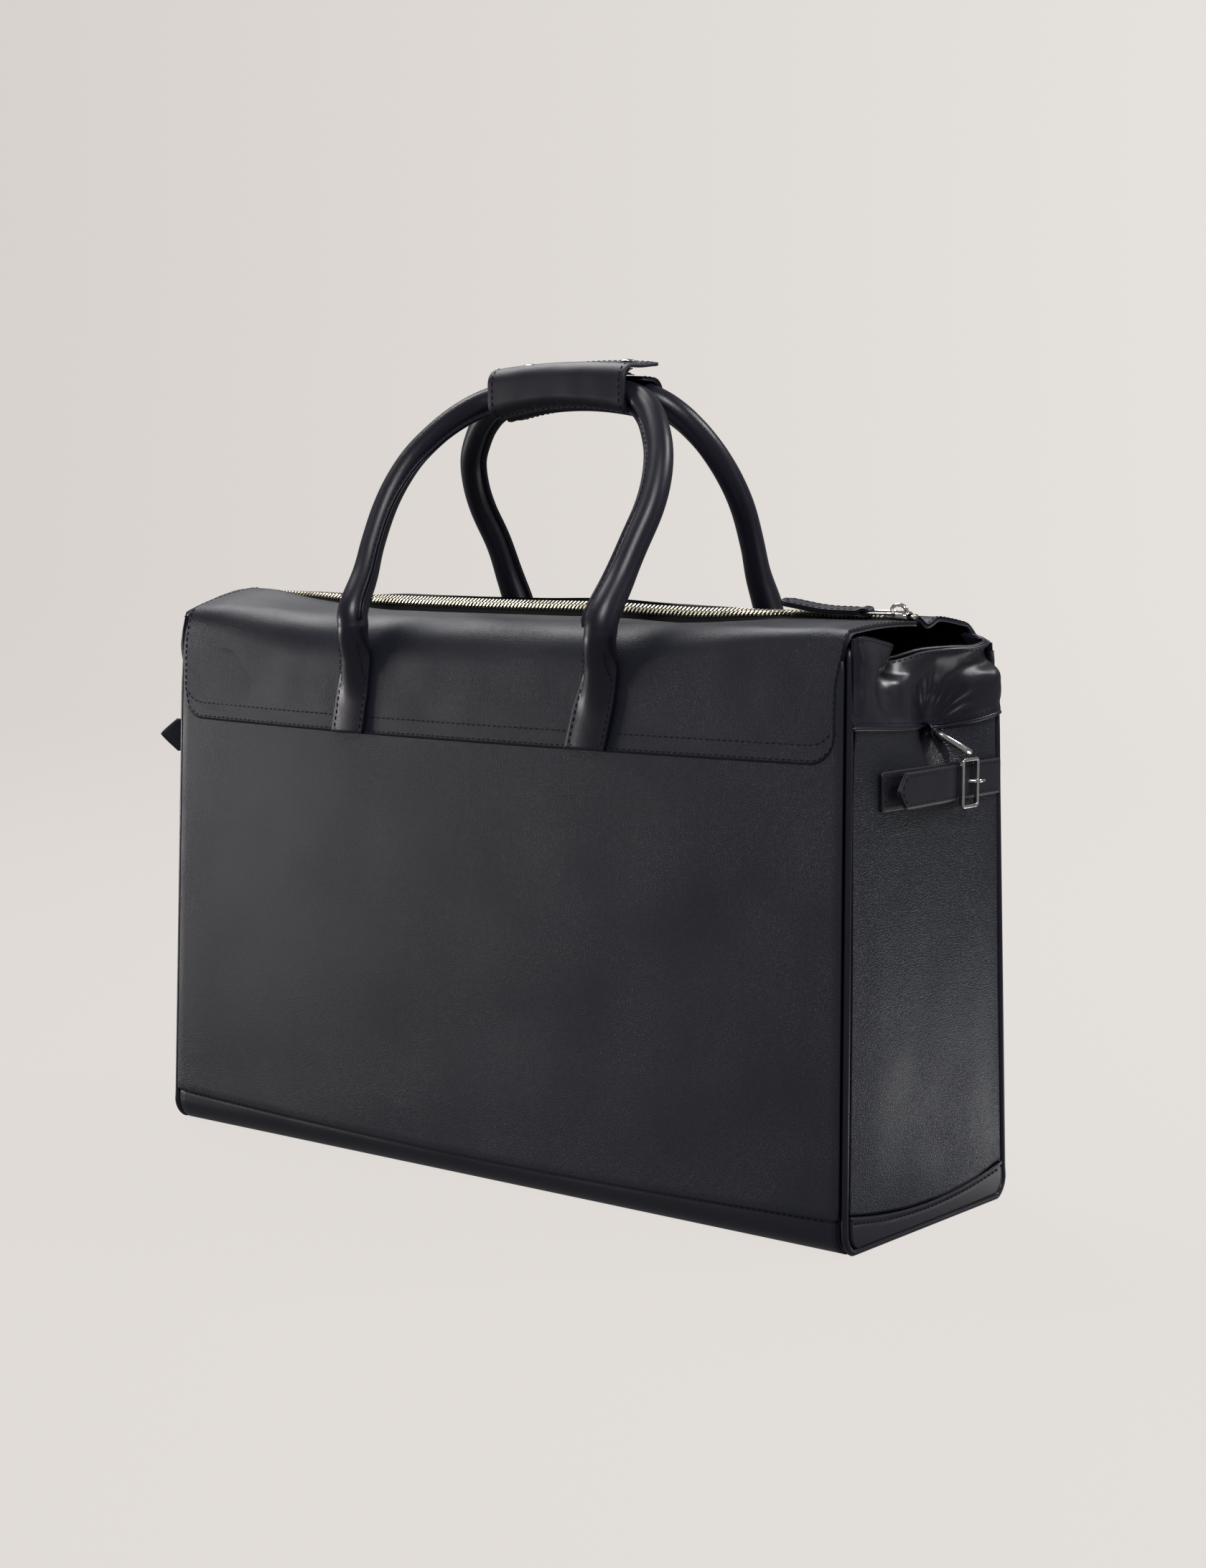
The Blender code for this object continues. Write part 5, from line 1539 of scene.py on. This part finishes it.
def make_straps():
    for hand, sign in (("right", 1), ("left", -1)):
        shift = STRAP_SHIFT[hand]
        heel = HEEL_Y - shift
        tip = TIP_BAR_Y - shift
        split = BILLET_SPLIT_Y - shift
        points = [(-0.0510, 0.0026, 0), (-0.030, 0.0027, 0), (-0.005, 0.0026, 0)]
        points += [(heel - 0.006, 0.0012, 0), (heel + 0.004, 0.0004, 0)]
        path = curve(points, 7)
        grid = strap_grid([(p.x, p.y) for p in path], sign)
        strap = skin(hand + "_strap_leather", grid, sign * 0.0016, STRAP)
        place(strap, "bag", "strap_leather", hand + "_fixed_strap")
        rows = strap_rows(grid, sign, (1, 3))
        rows.append(stitch_row(grid, sign, [(0.8, mix(1.25, 8.75, k / 6)) for k in range(7)]))
        stitches(hand + "_strap_stitches", rows, "bag", "strap_leather")

        points = [(0.0790, 0.0016, 0), (0.068, 0.0026, 0), (tip + 0.008, 0.0030, 0), (tip, 0.0031, 0)]
        if hand == "left":
            points.insert(2, (0.045, 0.0028, 0))
        points += [(heel + 0.004, 0.0032, 0), (heel - 0.003, 0.0036, 0), (split + 0.010, 0.0064, 0)]
        points.append((split, 0.0072, 0))
        grid = billet_grid(curve(points, 7), hand, sign, split)
        bend = len(grid) - TIP_ROWS
        billet = skin(hand + "_billet_leather", grid, -sign * STRAP_WALL, STRAP)
        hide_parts(hand + "_billet", hand + "_billet_tip")
        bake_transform(billet)
        edges = (TIP_MARGIN, TIP_COLUMNS - 1 - TIP_MARGIN)
        rows = [stitch_row(grid, sign, [(k, column) for k in range(1, bend - 2)]) for column in edges]
        stitches(hand + "_billet_stitches", rows, "bag", "strap_leather")
        rows = []
        for column in edges:
            rows.append(stitch_row(grid, sign, [(k, column) for k in range(bend + 3, bend + TIP_ROWS - 3)]))
        across = [mix(edges[0], edges[1], k / 12) for k in range(13)]
        rows.append(stitch_row(grid, sign, [(bend + TIP_ROWS - 3.0, column) for column in across]))
        stitches(hand + "_tip_stitches", rows, hand + "_billet_tip", "strap_leather")
        hole = Vector((sign * (STRAP_FACE_X + 0.00305), (heel + tip) / 2 + 0.0015, STRAP_Z))
        make_hole(hand + "_billet_hole", hole, sign)
        make_buckle(hand, sign, heel, tip)
        make_ring(hand, sign)


def make_hole(name, centre, sign):
    """A punched hole with a burnished rim."""
    rings = []
    for radius, out in ((0.0013, 0.0), (0.0012, 0.00022), (0.0009, 0.00022), (0.0008, 0.0)):
        ring = []
        for k in range(18):
            angle = 2 * math.pi * k / 18
            ring.append(centre + Vector((sign * out, radius * math.cos(angle), radius * math.sin(angle))))
        rings.append(ring)
    place(loft(name, rings, PAINTED), "bag", "strap_leather")


def make_buckle(hand, sign, heel, tip):
    low_y, high_y = heel, tip
    low_z = BUCKLE_Z - BUCKLE_HEIGHT / 2 + BUCKLE_BAR / 2
    high_z = BUCKLE_Z + BUCKLE_HEIGHT / 2 - BUCKLE_BAR / 2
    outline = []
    for y, z, start in ((high_y, high_z, 0), (low_y, high_z, 90), (low_y, low_z, 180), (high_y, low_z, 270)):
        cy = y - BUCKLE_CORNER if y == high_y else y + BUCKLE_CORNER
        cz = z - BUCKLE_CORNER if z == high_z else z + BUCKLE_CORNER
        outline += arc((cy, cz), BUCKLE_CORNER, start, start + 90, 5)
    rings = []
    count = len(outline)
    for k, (y, z) in enumerate(outline):
        before, after = outline[k - 1], outline[(k + 1) % count]
        way = Vector((after[0] - before[0], after[1] - before[1])).normalized()
        normal = Vector((way.y, -way.x))
        ring = []
        for m in range(16):
            angle = 2 * math.pi * m / 16
            aside = math.copysign(abs(math.cos(angle)) ** 0.55, math.cos(angle)) * BUCKLE_BAR / 2
            out = math.copysign(abs(math.sin(angle)) ** 0.55, math.sin(angle)) * 0.0015
            x = STRAP_FACE_X + BUCKLE_OUT + out
            ring.append(Vector((sign * x, y + normal.x * aside, z + normal.y * aside)))
        rings.append(ring)
    place(loft(hand + "_buckle_frame", rings, NICKEL_LOOK, closed=True), "bag", "nickel", hand + "_buckle")
    over = BUCKLE_OUT + 0.0016 + 0.0010
    path = [(heel + 0.0006, 0.0012), (tip - 0.0080, 0.0012), (tip - 0.0048, 0.0026)]
    path += [(tip - 0.0022, over - 0.0014), (tip - 0.0002, over), (tip + 0.0026, over)]
    path += [(tip + 0.0044, over - 0.0002)]
    points = curve([(sign * (STRAP_FACE_X + out), y, STRAP_Z - 0.0006) for y, out in path], 5)
    prong = wire(hand + "_prong_wire", points, PRONG_RADIUS, NICKEL_LOOK)
    place(prong, hand + "_prong", "nickel", hand + "_prong")


def make_ring(hand, sign):
    outward = Vector((math.cos(RING_TURN), math.sin(RING_TURN), 0))
    across = Vector((-math.sin(RING_TURN), math.cos(RING_TURN), 0))
    down = outward * math.cos(RING_SLOPE) + Vector((0, 0, -math.sin(RING_SLOPE)))
    straight = RING_LENGTH - RING_HALF_WIDTH
    flat = [(0.0, t) for t in (-0.75, -0.4, 0.0, 0.4, 0.75)]
    flat += [(0.0003, 0.92), (0.0015, 1.0), (straight / 2, 1.0)]
    for k in range(19):
        angle = math.pi * k / 18
        flat.append((straight + RING_HALF_WIDTH * math.sin(angle), math.cos(angle)))
    flat += [(straight / 2, -1.0), (0.0015, -1.0), (0.0003, -0.92)]
    points = [RING_BAR + down * s + across * (w * RING_HALF_WIDTH) for s, w in flat]
    points = [Vector((sign * p.x, p.y, p.z)) for p in points]
    ring = wire(hand + "_ring_wire", points, RING_WIRE, NICKEL_LOOK, closed=True)
    place(ring, hand + "_ring", "nickel", hand + "_ring")
    turns = [(-0.0050, 0.0042)]
    turns += arc((0, 0), RING_WIRE + 0.0004 + 0.0016, 150, 400, 22)
    grid = []
    for k in range(9):
        middle = RING_BAR + across * mix(-0.0058, 0.0058, k / 8)
        row = [middle + outward * out + Vector((0, 0, up)) for out, up in turns]
        grid.append([(sign * p.x, p.y, p.z) for p in row])
    loop = skin(hand + "_loop_leather", grid, sign * 0.0015, STRAP, 4)
    place(loop, "bag", "smooth_leather", hand + "_ring_loop")


# ---------------------------------------------------------------- studio


def make_stage():
    """A pale floor that runs into a pale backdrop, both glowing with a painted falloff of light from left to
    right, and lamps above, on both sides, in front and behind.
    """
    shape = bmesh.new()
    radius = 5.0
    rings = [(1.2, 0.0), (2.6, 0.0), (3.8, 0.0), (4.6, 0.25), (radius, 1.0), (radius, 2.6)]
    rings += [(4.4, 3.9), (2.6, 4.8), (0.5, 5.1)]
    sides = 64
    loops = []
    for reach, height in rings:
        loop = []
        for k in range(sides):
            angle = 2 * math.pi * k / sides
            loop.append(shape.verts.new((reach * math.cos(angle), reach * math.sin(angle), height)))
        loops.append(loop)
    middle = shape.verts.new((0, 0, 0))
    for k in range(sides):
        shape.faces.new((middle, loops[0][k], loops[0][(k + 1) % sides]))
        for near, far in zip(loops, loops[1:]):
            shape.faces.new((near[k], far[k], far[(k + 1) % sides], near[(k + 1) % sides]))
    mesh = bpy.data.meshes.new("studio_cove")
    shape.to_mesh(mesh)
    shape.free()
    mesh.shade_smooth()
    cove = bpy.data.objects.new("studio_cove", mesh)
    bpy.context.scene.collection.objects.link(cove)
    look = Nodes("studio_paint", 0.9, specular=0.0)
    # The floor and backdrop glow paler towards the right of the view: a painted falloff of the studio light
    # across them.
    across = look.add("ShaderNodeVectorMath", operation="DOT_PRODUCT")
    look.link(look.place, across.inputs[0])
    across.inputs[1].default_value = (0.779, 0.627, 0.0)
    slide = look.spread(across.outputs["Value"], 0.0, 1.0, -1.5, 1.5)
    tone = look.blend(slide, BACKDROP_LEFT, BACKDROP_RIGHT)
    look.shader.inputs["Base Color"].default_value = (0.03, 0.03, 0.03, 1)
    look.link(tone, look.shader.inputs["Emission Color"])
    look.shader.inputs["Emission Strength"].default_value = BACKDROP_GLOW
    mesh.materials.append(look.material)
    cove.visible_glossy = False
    cove.visible_diffuse = False
    cove.visible_shadow = False

    world = bpy.data.worlds.new("studio")
    bpy.context.scene.world = world
    world.use_nodes = True
    world.node_tree.nodes["Background"].inputs["Color"].default_value = WORLD_TINT
    world.node_tree.nodes["Background"].inputs["Strength"].default_value = WORLD_STRENGTH
    for name, place_at, target, size, power, tint in LIGHTS:
        data = bpy.data.lights.new(name, "AREA")
        data.shape = "RECTANGLE"
        data.size, data.size_y = size
        data.energy = power
        data.color = tint
        lamp = bpy.data.objects.new(name, data)
        lamp.location = place_at
        aim = Vector(target) - Vector(place_at)
        lamp.rotation_euler = aim.to_track_quat("-Z", "Y").to_euler()
        lamp.visible_camera = False
        bpy.context.scene.collection.objects.link(lamp)
    bpy.context.scene.view_settings.view_transform = "Standard"


# The backdrop's glow at the left and the right of the view; the difference between them is a painted falloff
# of light.
BACKDROP_LEFT = (0.640, 0.600, 0.575)
BACKDROP_RIGHT = (0.735, 0.705, 0.670)
BACKDROP_GLOW = 1.06
WORLD_TINT = (0.95, 0.97, 1.0, 1)
WORLD_STRENGTH = 0.19
LIGHTS = (
    ("overhead", (-1.3, 0.45, 2.2), (0, 0, 0.3), (1.6, 1.0), 40.0, (1.0, 1.0, 1.0)),
    ("left_front", (-2.6, -1.05, 0.10), (0, 0, 0.10), (0.9, 0.18), 17.5, (1.0, 0.96, 0.95)),
    ("key_high", (1.3, -1.7, 2.3), (0, 0, 0.35), (0.6, 0.6), 40.0, (1.0, 1.0, 1.0)),
    ("back_high", (1.5, 1.5, 2.3), (0.25, 0, 0.3), (0.4, 0.4), 26.0, (1.0, 1.0, 1.0)),
    ("right_side", (2.1, 0.8, 0.75), (0.2, 0, 0.25), (0.4, 1.3), 1.2, (0.95, 0.97, 1.0)),
    ("floor_bounce", (0.46, 0.40, -0.03), (0.46, 0.40, 1.0), (0.36, 0.36), 0.8, (0.98, 0.98, 1.0)),
)


def make_camera():
    data = bpy.data.cameras.new("camera")
    data.lens = CAMERA_LENS
    data.sensor_width = 36.0
    camera = bpy.data.objects.new("camera", data)
    camera.location = CAMERA_PLACE
    camera.rotation_euler = Vector(CAMERA_FORWARD).to_track_quat("-Z", "Y").to_euler()
    bpy.context.scene.collection.objects.link(camera)
    bpy.context.scene.camera = camera


CAMERA_LENS = 59.816
CAMERA_PLACE = (1.0577, -1.2748, 0.4128)
CAMERA_FORWARD = (-0.6237, 0.7749, -0.1027)

make_panels()
make_linings()
make_base()
make_ends()
make_corner_strips()
make_piping()
make_flaps()
make_zip()
make_slider()
make_leather_pull()
make_handles()
make_wrap()
make_straps()
make_stage()
make_camera()
